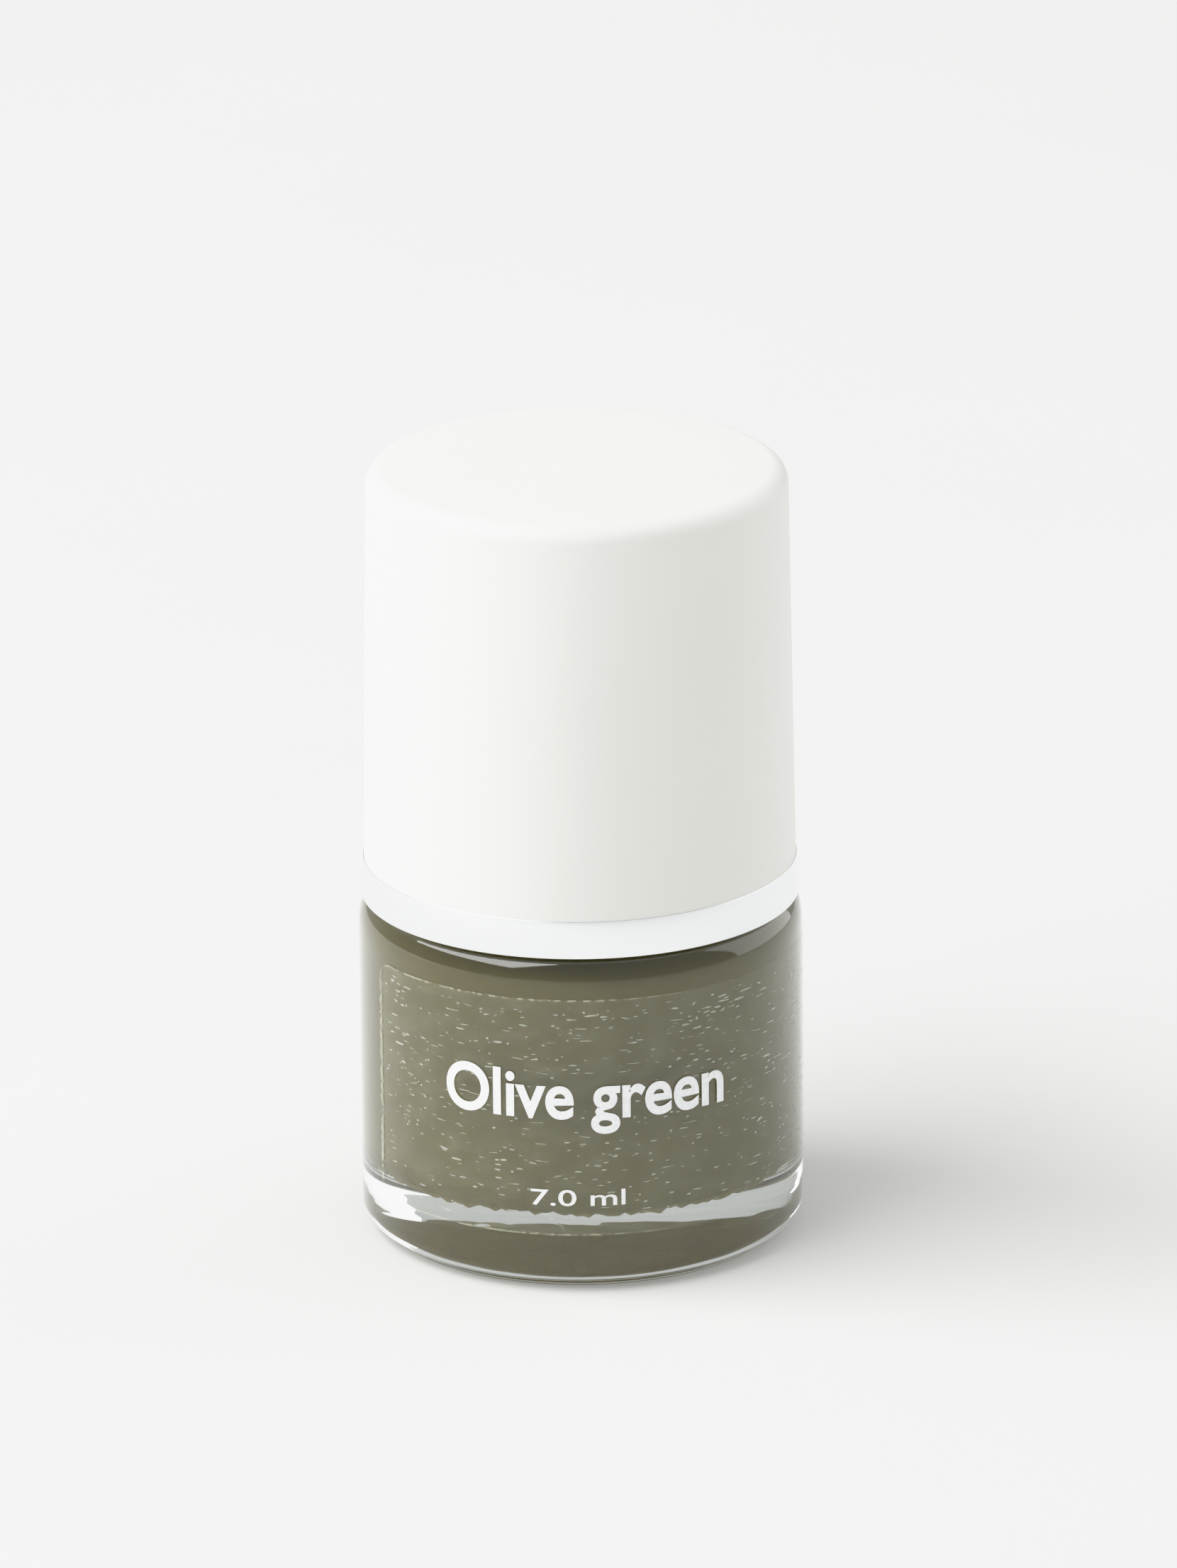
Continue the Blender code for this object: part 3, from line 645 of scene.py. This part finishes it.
def make_film():
    """Sheet of arc by height with rounded corners: an outer face, an inner face and a rim."""
    length = math.radians(LABEL_SPAN) * bottle_r
    curl = LABEL_CORNER * (1 - np.cos(np.linspace(0, math.pi / 2, 9)))
    between = np.linspace(LABEL_CORNER, length - LABEL_CORNER, 180)[1:-1]
    along = np.concatenate([curl, between, length - curl[::-1]])
    short = np.clip(LABEL_CORNER - np.minimum(along, length - along), 0, None)
    pull = LABEL_CORNER - np.sqrt(LABEL_CORNER**2 - short**2)
    share = np.concatenate([[0, 0.012], np.linspace(0.05, 0.95, 12), [0.988, 1]])
    height = label_z + pull[:, None] + (label_top_z - label_z - 2 * pull[:, None]) * share
    arc_mm = np.repeat((along + math.radians(LABEL_START) * bottle_r)[:, None], len(share), 1)
    outer = on_wall(arc_mm, height, FILM_OUT).reshape(-1, 3)
    inner = on_wall(arc_mm, height, FILM_IN).reshape(-1, 3)
    rows, columns = height.shape
    index = np.arange(rows * columns).reshape(rows, columns)
    face = np.stack([index[:-1, :-1], index[1:, :-1], index[1:, 1:], index[:-1, 1:]], 2).reshape(-1, 4)
    ring = np.concatenate([index[:, 0], index[-1, 1:], index[-2::-1, -1], index[0, -2:0:-1]])
    step = np.roll(ring, -1)
    count = rows * columns
    rim = np.stack([ring, ring + count, step + count, step], 1)
    faces = np.vstack([face, face[:, ::-1] + count, rim])
    mesh = bpy.data.meshes.new("label_film")
    mesh.from_pydata(np.vstack([outer, inner]).tolist(), [], faces.tolist())
    unrolled = np.tile(np.stack([arc_mm, height], -1).reshape(-1, 2) * MM, (2, 1))
    loops = np.zeros(len(mesh.loops), np.int32)
    mesh.loops.foreach_get("vertex_index", loops)
    layer = mesh.uv_layers.new(name="unrolled")
    layer.data.foreach_set("uv", unrolled[loops].astype(np.float32).ravel())
    # Painted highlight on the cut edges: top and bottom are brightest on the left and front, where the
    # key light falls, and fade towards the right; the two ends get their own strengths.
    edge = np.zeros((rows, columns))
    lit = np.clip(0.75 - arc_mm[:, 0] / 12, 0.15, 0.75)
    edge[:, 0], edge[:, -1] = lit, lit
    edge[:3], edge[-3:] = LEFT_END_HIGHLIGHT, RIGHT_END_HIGHLIGHT
    mesh.attributes.new("edge", "FLOAT", "POINT").data.foreach_set("value", np.tile(edge.ravel(), 2))
    mesh.shade_smooth()
    mesh.materials.append(film_material())
    piece = bpy.data.objects.new("label_film", mesh)
    return place_piece(piece, "bottle", ["wrap_label"])


make_film()

# %% [markdown]
# ## Air trapped under the film
#
# Where the roller skipped, slivers of air stay between film and glass. They show as short
# pale dashes that lie along the roller's path, thickest near the top. Each one is a flat lens
# with eight corners, so fifteen hundred of them stay light.

# %% Trapped air


def air_material():
    """Air under film, left by a roller: a dry, pale glint that differs from mark to mark."""
    made, tree, shader = new_material("air_under_film", Roughness=0.4)
    shader.inputs["Base Color"].default_value = linear("#E3E9DA")
    ends = [(0.35, grey(0.07)), (0.65, grey(0.31))]
    patchy = grain(tree, 0.9, detail=1.0)
    add_node(tree, "ShaderNodeValToRGB", {0: patchy}, ends, shader.inputs["Alpha"])
    return made


AIR_MARKS = 1500
AIR_EDGE_MARKS = 70
AIR_RADIUS = bottle_r + 0.03


def make_air_marks():
    """Mark k is a ring of 8 points (a + l cos t, h + w sin t) on the wall, with two peaks."""
    rng = np.random.default_rng(21)
    start = math.radians(LABEL_START) * bottle_r
    length = math.radians(LABEL_SPAN) * bottle_r
    arc_mm = start + 0.8 + (length - 1.6) * rng.random(AIR_MARKS)
    lift = rng.random(AIR_MARKS) ** 0.75
    rows = np.round(lift * 34) / 34 + 0.006 * rng.standard_normal(AIR_MARKS)
    share = np.clip(np.where(rng.random(AIR_MARKS) < 0.5, rows, lift), 0, 1)
    height = label_z + 0.5 + (label_top_z - label_z - 1.0) * share
    long_mm = np.clip(0.15 * np.exp(0.55 * rng.standard_normal(AIR_MARKS)), 0.05, 0.50)
    wide_mm = np.clip(0.045 * np.exp(0.35 * rng.standard_normal(AIR_MARKS)), 0.025, 0.08)
    slope = 0.05 * rng.standard_normal(AIR_MARKS)
    edge_height = label_z + 1.6 + (label_top_z - label_z - 2.2) * rng.random(AIR_EDGE_MARKS)
    arc_mm = np.append(arc_mm, start + 0.12 + 0.05 * rng.random(AIR_EDGE_MARKS))
    height = np.append(height, edge_height)
    long_mm = np.append(long_mm, 0.035 + 0.02 * rng.random(AIR_EDGE_MARKS))
    wide_mm = np.append(wide_mm, 0.06 + 0.18 * rng.random(AIR_EDGE_MARKS))
    slope = np.append(slope, np.zeros(AIR_EDGE_MARKS))
    t = np.arange(8) * math.tau / 8
    ring_arc = arc_mm[:, None] + long_mm[:, None] * np.cos(t)
    lean = (slope * long_mm)[:, None] * np.cos(t)
    ring_height = height[:, None] + wide_mm[:, None] * np.sin(t) + lean
    ring = on_wall(ring_arc, ring_height, AIR_RADIUS)
    peaks = [on_wall(arc_mm, height, AIR_RADIUS + d)[:, None] for d in (-0.01, 0.01)]
    points = np.concatenate([ring, *peaks], 1).reshape(-1, 3)
    k = np.arange(8)
    after = (k + 1) % 8
    one = np.vstack([np.stack([k, after, k * 0 + 9], 1), np.stack([after, k, k * 0 + 8], 1)])
    faces = (one[None] + 10 * np.arange(len(arc_mm))[:, None, None]).reshape(-1, 3)
    mesh = bpy.data.meshes.new("film_air_marks")
    mesh.from_pydata(points.tolist(), [], faces.tolist())
    mesh.materials.append(air_material())
    return place_piece(bpy.data.objects.new("film_air_marks", mesh), "bottle")


make_air_marks()

# %% [markdown]
# ## The print
#
# The words are screen printed in white on the film. They say only what colour is inside and how
# much of it. Each line is set flat as text, made a mesh, sliced into narrow upright strips
# so that it can bend, and rolled onto the wall.

# %% Ink


def ink_material():
    """White screen ink: opaque and matt, a little thinner where the mesh of the screen printed."""
    made, tree, shader = new_material("white_screen_ink", Roughness=0.55)
    ends = [(0.35, linear("#EDEDEE")), (0.65, linear("#F7F7F8"))]
    weave = grain(tree, 0.25, detail=1.0)
    add_node(tree, "ShaderNodeValToRGB", {0: weave}, ends, shader.inputs["Base Color"])
    return made


INK = ink_material()
INK_IN = FILM_OUT + 0.004
INK_THICK = 0.02
STRIP_MM = 0.3


def print_line(name, words, height_mm, width_mm, centre_arc, baseline, weight):
    """Roll a line of text onto the wall: x becomes an arc length, y a height and z a radius."""
    text = bpy.data.curves.new(name, "FONT")
    text.body = words
    text.align_x = "CENTER"
    text.offset = weight
    text.extrude = 0.01
    holder = bpy.data.objects.new(name, text)
    bpy.context.scene.collection.objects.link(holder)
    bpy.context.view_layer.update()
    flat = holder.evaluated_get(bpy.context.evaluated_depsgraph_get())
    mesh = bpy.data.meshes.new_from_object(flat)
    bpy.data.objects.remove(holder)
    points = np.zeros(len(mesh.vertices) * 3)
    mesh.vertices.foreach_get("co", points)
    points = points.reshape(-1, 3)
    low, high = points.min(0), points.max(0)
    points[:, 0] = (points[:, 0] - (low[0] + high[0]) / 2) * width_mm / (high[0] - low[0])
    points[:, 1] = points[:, 1] * height_mm / high[1]
    mesh.vertices.foreach_set("co", points.ravel())
    shape = bmesh.new()
    shape.from_mesh(mesh)
    bmesh.ops.remove_doubles(shape, verts=shape.verts, dist=1e-5)
    for cut in np.arange(-width_mm / 2 + STRIP_MM, width_mm / 2, STRIP_MM):
        everything = shape.verts[:] + shape.edges[:] + shape.faces[:]
        plane = {"plane_co": (cut, 0, 0), "plane_no": (1, 0, 0)}
        bmesh.ops.bisect_plane(shape, geom=everything, dist=1e-5, **plane)
    shape.to_mesh(mesh)
    shape.free()
    points = np.zeros(len(mesh.vertices) * 3)
    mesh.vertices.foreach_get("co", points)
    points = points.reshape(-1, 3)
    depth = np.where(points[:, 2] > 0, INK_IN + INK_THICK, INK_IN)
    rolled = on_wall(points[:, 0] + centre_arc, points[:, 1] + baseline, depth)
    mesh.vertices.foreach_set("co", rolled.ravel())
    mesh.materials.clear()
    mesh.materials.append(INK)
    mesh.update()
    return place_piece(bpy.data.objects.new(name, mesh), "bottle")


print_line("print_colour_name", "Olive green", 3.1, 18.4, 0.25, 11.75, 0.02)
print_line("print_contents", "7.0 ml", 1.05, 5.9, -0.3, 5.9, 0.006)

# %% [markdown]
# ## The collar
#
# A band of bright aluminium, pressed from sheet and polished: it has a rolled lower lip, a
# step for the cap's rim and a sleeve that grips inside the cap. Polish leaves hair-fine marks
# that run round it, so its roughness is stretched along the turn.

# %% Collar


def collar_material():
    """Polished aluminium, spun: a near mirror with hair-fine marks round the band."""
    made, tree, shader = new_material("polished_aluminium_spun", Metallic=1.0, Roughness=0.1)
    shader.inputs["Base Color"].default_value = linear("#F4F6F8")
    ends = [(0.3, grey(0.07)), (0.7, grey(0.16))]
    marks = grain(tree, 0.05, (60, 60, 1), 2.0)
    add_node(tree, "ShaderNodeValToRGB", {0: marks}, ends, shader.inputs["Roughness"])
    return made


STEP_Z = cap_z - 0.01  # the collar is drawn up to the cap's rim: the working part keeps a gap here
COLLAR_METAL = 0.45
COLLAR_TAPER = 0.2
SLEEVE_R = cap_r - 1.5 - 0.3


def make_collar():
    """Sleeve, step, tapered band and lip, in one closed outline."""
    inside = collar_r - COLLAR_METAL
    outline = rounded(
        [
            (SLEEVE_R, sleeve_z, 0.18),
            (SLEEVE_R, STEP_Z, 0.1),
            (collar_r - COLLAR_TAPER, STEP_Z, 0.03),
            (collar_r, collar_z, 0.17),
            (inside, collar_z, 0.17),
            (inside - COLLAR_TAPER, STEP_Z - COLLAR_METAL, 0.2),
            (SLEEVE_R - COLLAR_METAL, STEP_Z - COLLAR_METAL, 0.12),
            (SLEEVE_R - COLLAR_METAL, sleeve_z, 0.18),
        ]
    )
    node = ["collar_ring"]
    return turned("collar", outline, collar_material(), "cap", node, True, 200)


make_collar()

# %% [markdown]
# ## The cap
#
# The tall shell is moulded ABS sprayed with a soft-touch lacquer. It tapers a little, so that
# it left its mould, and its top rim is a generous round that catches the key light. Inside, a
# keyed socket grips the threaded cap and thin webs join the two.

# %% Cap finish


def soft_touch():
    """Soft-touch lacquer over ABS, sprayed: matt, with orange peel a third of a millimetre wide."""
    made, tree, shader = new_material("soft_touch_lacquer_sprayed", Roughness=0.45)
    ends = [(0.3, linear("#E6E6E0")), (0.7, linear("#E8E8E2"))]
    add_node(tree, "ShaderNodeValToRGB", {0: grain(tree, 14.0)}, ends, shader.inputs["Base Color"])
    peel = grain(tree, 0.3)
    ends = [(0.3, grey(0.4)), (0.7, grey(0.5))]
    add_node(tree, "ShaderNodeValToRGB", {0: peel}, ends, shader.inputs["Roughness"])
    pits = {"Height": peel, "Distance": 0.006 * MM, "Strength": 0.5}
    add_node(tree, "ShaderNodeBump", pits, into=shader.inputs["Normal"])
    return made


# %% Cap shell
CAP_HEIGHT = top_z - cap_z
DRAFT = math.tan(math.radians(0.95))
CAP_WALL = 1.5
SOCKET_BORE = 8.3
SOCKET_WALL = 1.6
SOCKET_LOW = sleeve_z + 0.3
SOCKET_SEAT = boss_z - 3.5 + 0.2
CEILING = top_z - 1.6
CROWN = 0.15


def make_cap():
    """Crowned top, rounded rim, tapered side, mouth, and the socket up inside, as one outline."""
    rim = cap_z - 0.03  # pressed down on the collar
    side_top = cap_r - DRAFT * CAP_HEIGHT
    inner_top = cap_r - CAP_WALL - DRAFT * (CEILING - cap_z)
    outline = rounded(
        [
            (0, top_z),
            (side_top * 0.5, top_z - CROWN * 0.25),
            (side_top, top_z - CROWN, 1.2),
            (cap_r, rim, 0.02),
            (cap_r - CAP_WALL, rim, 0.1),
            (inner_top, CEILING, 0.8),
            (SOCKET_BORE + SOCKET_WALL, CEILING, 0.4),
            (SOCKET_BORE + SOCKET_WALL, SOCKET_LOW, 0.2),
            (SOCKET_BORE, SOCKET_LOW, 0.3),
            (SOCKET_BORE, SOCKET_SEAT, 0.1),
            (SOCKET_BORE - 1.3, SOCKET_SEAT, 0.1),
            (SOCKET_BORE - 1.3, CEILING, 0.2),
            (0, CEILING),
        ],
        8,
    )
    node = ["outer_cap"]
    return turned("cap_shell", outline, SOFT_TOUCH, "cap", node, False, 240)


SOFT_TOUCH = soft_touch()
make_cap()

# %% Webs inside the cap
WEB_COUNT = 8
WEB_WIDTH = 0.9


def make_webs():
    """Eight upright slabs from the socket to the shell, an eighth of a turn apart."""
    inner, outer = SOCKET_BORE + SOCKET_WALL / 2, cap_r - DRAFT * CAP_HEIGHT - CAP_WALL / 2
    low, high = SOCKET_LOW + 0.3, CEILING + 0.3
    half = WEB_WIDTH / 2
    corners = np.array([(x, y, z) for z in (low, high) for y in (-half, half) for x in (inner, outer)])
    turns = (np.arange(WEB_COUNT) + 0.25) * math.tau / WEB_COUNT
    c, s = np.cos(turns)[:, None], np.sin(turns)[:, None]
    x = corners[:, 0] * c - corners[:, 1] * s
    y = corners[:, 0] * s + corners[:, 1] * c
    z = np.broadcast_to(corners[:, 2], x.shape)
    points = np.stack([x, y, z], 2).reshape(-1, 3) * MM
    box = np.array([(0, 2, 3, 1), (4, 5, 7, 6), (0, 1, 5, 4), (2, 6, 7, 3), (0, 4, 6, 2), (1, 3, 7, 5)])
    faces = (box[None] + 8 * np.arange(WEB_COUNT)[:, None, None]).reshape(-1, 4)
    mesh = bpy.data.meshes.new("cap_webs")
    mesh.from_pydata(points.tolist(), [], faces.tolist())
    mesh.materials.append(SOFT_TOUCH)
    return place_piece(bpy.data.objects.new("cap_webs", mesh), "cap")


make_webs()

# %% [markdown]
# ## The threaded cap, the liner and the brush
#
# None of these shows while the bottle is shut. They do when it is open: the cap lifts away
# with the stem, and the tuft comes out loaded with polish.

# %% Plastics inside


def moulded_plastic(name, dark, light, rough_low, rough_high, grain_mm):
    """Injection-moulded polymer: even colour, and the spark-eroded grain of its mould."""
    made, tree, shader = new_material(name)
    pattern = grain(tree, grain_mm)
    ends = [(0.3, linear(dark)), (0.7, linear(light))]
    add_node(tree, "ShaderNodeValToRGB", {0: pattern}, ends, shader.inputs["Base Color"])
    ends = [(0.3, grey(rough_low)), (0.7, grey(rough_high))]
    add_node(tree, "ShaderNodeValToRGB", {0: pattern}, ends, shader.inputs["Roughness"])
    pits = {"Height": pattern, "Distance": 0.01 * MM, "Strength": 0.4}
    add_node(tree, "ShaderNodeBump", pits, into=shader.inputs["Normal"])
    return made


POLYPROPYLENE = moulded_plastic("white_polypropylene_moulded", "#E6E6E2", "#EDEDEA", 0.32, 0.46, 0.4)
POLYETHYLENE = moulded_plastic("natural_polyethylene_moulded", "#DEDED4", "#E8E8E0", 0.28, 0.40, 0.6)
FOAM = moulded_plastic("polyethylene_foam_skived", "#DCDCD8", "#EFEFEC", 0.75, 0.95, 0.12)

# %% Threaded cap
CAP_THREAD_ROOT = 7.15
CAP_BEAD = 0.5
CAP_THREAD_ENTRY = math.radians(200)
INNER_CAP_R = 8.0
BOSS_R = 4.1
KEY_COUNT = 6
KEY_WIDTH = 1.4
KEY_HEIGHT = 0.8
CROWN_Z = boss_z - 3.5
INNER_CEILING = CROWN_Z - 1.5


def make_threaded_cap():
    """Boss, keyed side, and a bore whose radius shrinks along the helix."""
    top = rounded(
        [
            (2.9, boss_z, 0.15),
            (BOSS_R, boss_z, 0.25),
            (BOSS_R, CROWN_Z, 0.4),
            (INNER_CAP_R, CROWN_Z, 0.3),
            (INNER_CAP_R, CROWN_Z - 1),
        ]
    )
    side = np.stack([np.full(40, INNER_CAP_R), np.linspace(CROWN_Z - 0.4, inner_cap_z + 0.2, 40)], 1)
    bore_z = np.linspace(inner_cap_z + 0.25, INNER_CEILING - 0.2, 110)
    bore = np.stack([np.full(110, CAP_THREAD_ROOT), bore_z], 1)
    rim = [(INNER_CAP_R - 0.05, inner_cap_z + 0.05), (INNER_CAP_R - 0.2, inner_cap_z)]
    rim.append((CAP_THREAD_ROOT + 0.15, inner_cap_z))
    roof = [(CAP_THREAD_ROOT - 0.2, INNER_CEILING), (2.95, INNER_CEILING), (2.9, INNER_CEILING + 0.05)]
    grid, quads = sweep(np.vstack([top[:-1], side, rim, bore, roof]), 240, True)
    x, y, z = (grid[..., k] / MM for k in range(3))
    radius, angle = np.hypot(x, y), np.arctan2(y, x)
    half_turn = math.pi / KEY_COUNT
    from_key = np.abs(np.mod(angle + half_turn, 2 * half_turn) - half_turn) * INNER_CAP_R
    key = KEY_HEIGHT * np.clip((KEY_WIDTH / 2 + 0.1 - from_key) / 0.2, 0, 1)
    key *= (np.abs(radius - INNER_CAP_R) < 0.01) & (z > SOCKET_LOW + 0.3) & (z < CROWN_Z - 0.2)
    thread = helix_rise(z, np.mod(CAP_THREAD_ENTRY - angle, math.tau), CAP_BEAD)
    thread *= np.abs(radius - CAP_THREAD_ROOT) < 0.01
    grid[..., :2] *= ((radius + key - thread) / radius)[..., None]
    node = ["inner_cap"]
    return mesh_from("threaded_cap", grid, quads, POLYPROPYLENE, "cap", node)


make_threaded_cap()

# %% Liner and stem
PLUG_R = BORE - 0.35
STEM_R = 1.6
FERRULE_R = 1.75
FLANGE_Z = liner_top_z + 0.2


def make_liner():
    """A soft ring with rounded edges."""
    hole = PLUG_R + 0.3
    corners = [(liner_r, liner_top_z), (liner_r, liner_z), (hole, liner_z), (hole, liner_top_z)]
    outline = rounded([(r, z, 0.22) for r, z in corners])
    node = ["sealing_liner"]
    return turned("foam_liner", outline, FOAM, "liner", node, True, 128)


def make_stem():
    """Spigot, flange, plug, tapering rod and ferrule, with the tuft's socket at the foot."""
    outline = rounded(
        [
            (0, spigot_z),
            (2.6, spigot_z, 0.5),
            (2.6, FLANGE_Z + 1.0, 0.3),
            (liner_r, FLANGE_Z + 1.0, 0.25),
            (liner_r, FLANGE_Z, 0.25),
            (PLUG_R, FLANGE_Z, 0.2),
            (PLUG_R, FLANGE_Z - 1.8, 0.3),
            (STEM_R, FLANGE_Z - 2.9, 0.5),
            (STEM_R - 0.1, stem_z + 5.6, 1.0),
            (FERRULE_R, stem_z + 4.0, 0.6),
            (FERRULE_R, stem_z, 0.25),
            (1.25, stem_z, 0.1),
            (1.25, stem_z + 3.2, 0.2),
            (0, stem_z + 3.2),
        ]
    )
    node = ["brush_stem"]
    return turned("stem", outline, POLYETHYLENE, "brush", node, False, 96)


make_liner()
make_stem()

# %% [markdown]
# ## The tuft
#
# The tuft is some three hundred nylon fibres. Their roots sit on a sunflower spiral, which
# packs points evenly in a circle, and their ends are cut so that the tuft's tip is a dome. A
# coat of polish clings to the fibres and to the stem above them.

# %% Fibres
FIBRES = 320
FIBRE_R = 0.055
GOLDEN = math.pi * (3 - math.sqrt(5))


def tuft_material():
    """Nylon 612 fibre, extruded and wet with lacquer: smooth, glossy, olive over pale nylon."""
    made, tree, shader = new_material("wet_nylon_fibre", IOR=1.5, Roughness=0.22)
    ends = [(0.3, linear("#6C6646")), (0.7, linear("#8A8465"))]
    streak = grain(tree, 0.12, (1, 1, 30), 1.0)
    add_node(tree, "ShaderNodeValToRGB", {0: streak}, ends, shader.inputs["Base Color"])
    return made


def make_tuft():
    """Fibre i starts at radius sqrt(i / n), angle i * golden; it bulges by a sine and strays."""
    rng = np.random.default_rng(8)
    i = np.arange(FIBRES)
    spread = np.sqrt((i + 0.5) / FIBRES)
    angle = i * GOLDEN
    t = np.linspace(0, 1, 9)
    start = root_z - 0.4
    cut = tip_z + 1.3 * spread**3.2 + 0.35 * rng.random(FIBRES) * spread
    height = start + (cut - start)[:, None] * t
    free = np.clip((stem_z - height) / (stem_z - tip_z), 0, 1)
    belly = 0.95 + (tuft_r - 0.08 - 0.95) * np.sin(np.clip(free * 2.6, 0, math.pi / 2)) - 0.42 * free**3
    wander = (rng.random((FIBRES, 2, 1)) - 0.5) * 0.22 * (free**1.6)[:, None, :]
    x = spread[:, None] * belly * np.cos(angle)[:, None] + wander[:, 0]
    y = spread[:, None] * belly * np.sin(angle)[:, None] + wander[:, 1]
    sides = np.arange(5) * math.tau / 5
    thick = FIBRE_R * (1 - 0.55 * t**4)[None, :, None]
    ring_x = x[..., None] + thick * np.cos(sides)
    ring_y = y[..., None] + thick * np.sin(sides)
    ring_z = np.broadcast_to(height[..., None], ring_x.shape)
    points = np.stack([ring_x, ring_y, ring_z], -1).reshape(-1, 3) * MM
    index = np.arange(len(points)).reshape(FIBRES, len(t), 5)
    below, above = index[:, :-1], index[:, 1:]
    skin = np.stack([below, np.roll(below, -1, 2), np.roll(above, -1, 2), above], -1)
    faces = skin[..., ::-1].reshape(-1, 4).tolist()
    faces += index[:, 0].tolist() + index[:, -1, ::-1].tolist()
    mesh = bpy.data.meshes.new("tuft_fibres")
    mesh.from_pydata(points.tolist(), [], faces)
    mesh.shade_smooth()
    mesh.materials.append(tuft_material())
    piece = bpy.data.objects.new("tuft_fibres", mesh)
    return place_piece(piece, "brush", ["bristles"])


make_tuft()

# %% Polish on the brush


def make_coat():
    """Lacquer round the tuft and the stem: a sagging radius, plus waves in angle and height."""
    stem = np.linspace(fill_z - 0.1, stem_z + 0.1, 24)
    z = np.append(stem, np.linspace(stem_z - 0.15, tip_z + 0.5, 44))
    on_stem = z > stem_z
    free = np.clip((stem_z - z) / (stem_z - tip_z), 0, 1)
    tuft = (tuft_r - 0.16) * np.sqrt(np.clip(1 - np.clip((free - 0.62) / 0.36, 0, 1) ** 2.4, 0.02, 1))
    radius = np.where(on_stem, FERRULE_R + 0.05, tuft)
    radius[0] = FERRULE_R - 0.1
    outline = np.vstack([[(0, z[0] + 0.01)], np.stack([radius, z], 1), [(0, z[-1] - 0.05)]])
    grid, quads = sweep(outline, 72, False)
    x, y, height = grid[..., 0], grid[..., 1], grid[..., 2] / MM
    angle = np.arctan2(y, x)
    wave = 1 + 0.018 * np.sin(3 * angle + 1.1 * height) + 0.012 * np.sin(5 * angle - 0.7 * height)
    grid[..., :2] *= wave[..., None]
    grid[..., 2] += 0.35 * MM * np.sin(2 * angle + 0.6) * (height > fill_z - 0.6) * (np.hypot(x, y) > 0)
    return mesh_from("polish_on_brush", grid, quads, free_polish(), "brush")


make_coat()

# %% [markdown]
# ## Steel balls and the tuft's anchor
#
# Two polished steel balls roll in the lacquer and stir it. The anchor plate keeps its packed
# shape and only takes a finish.

# %% Steel


def steel_material():
    """Stainless steel 304, ground and tumbled: bright, with a faint haze."""
    made, tree, shader = new_material("stainless_steel_tumbled", Metallic=1.0)
    shader.inputs["Base Color"].default_value = linear("#C9C8C6")
    ends = [(0.3, grey(0.12)), (0.7, grey(0.24))]
    add_node(tree, "ShaderNodeValToRGB", {0: grain(tree, 0.8)}, ends, shader.inputs["Roughness"])
    return made


STEEL = steel_material()


def make_ball(index):
    """Half-circle outline swept round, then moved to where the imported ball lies."""
    low, high = (np.array(v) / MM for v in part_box(f"mixing_ball_{index}"))
    centre, radius = (low + high) / 2, (high[2] - low[2]) / 2
    tilt = np.linspace(math.pi / 2, -math.pi / 2, 33)
    outline = np.stack([radius * np.cos(tilt), radius * np.sin(tilt)], 1)
    outline[[0, -1], 0] = 0
    grid, quads = sweep(outline, 48, False)
    grid += centre * MM
    name, node = f"steel_ball_{index}", f"mixing_ball_{index}"
    return mesh_from(name, grid, quads, STEEL, f"ball_{index}", [node])


for number in (1, 2):
    make_ball(number)
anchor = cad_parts["tuft_anchor"]
anchor.data.materials.clear()
anchor.data.materials.append(STEEL)
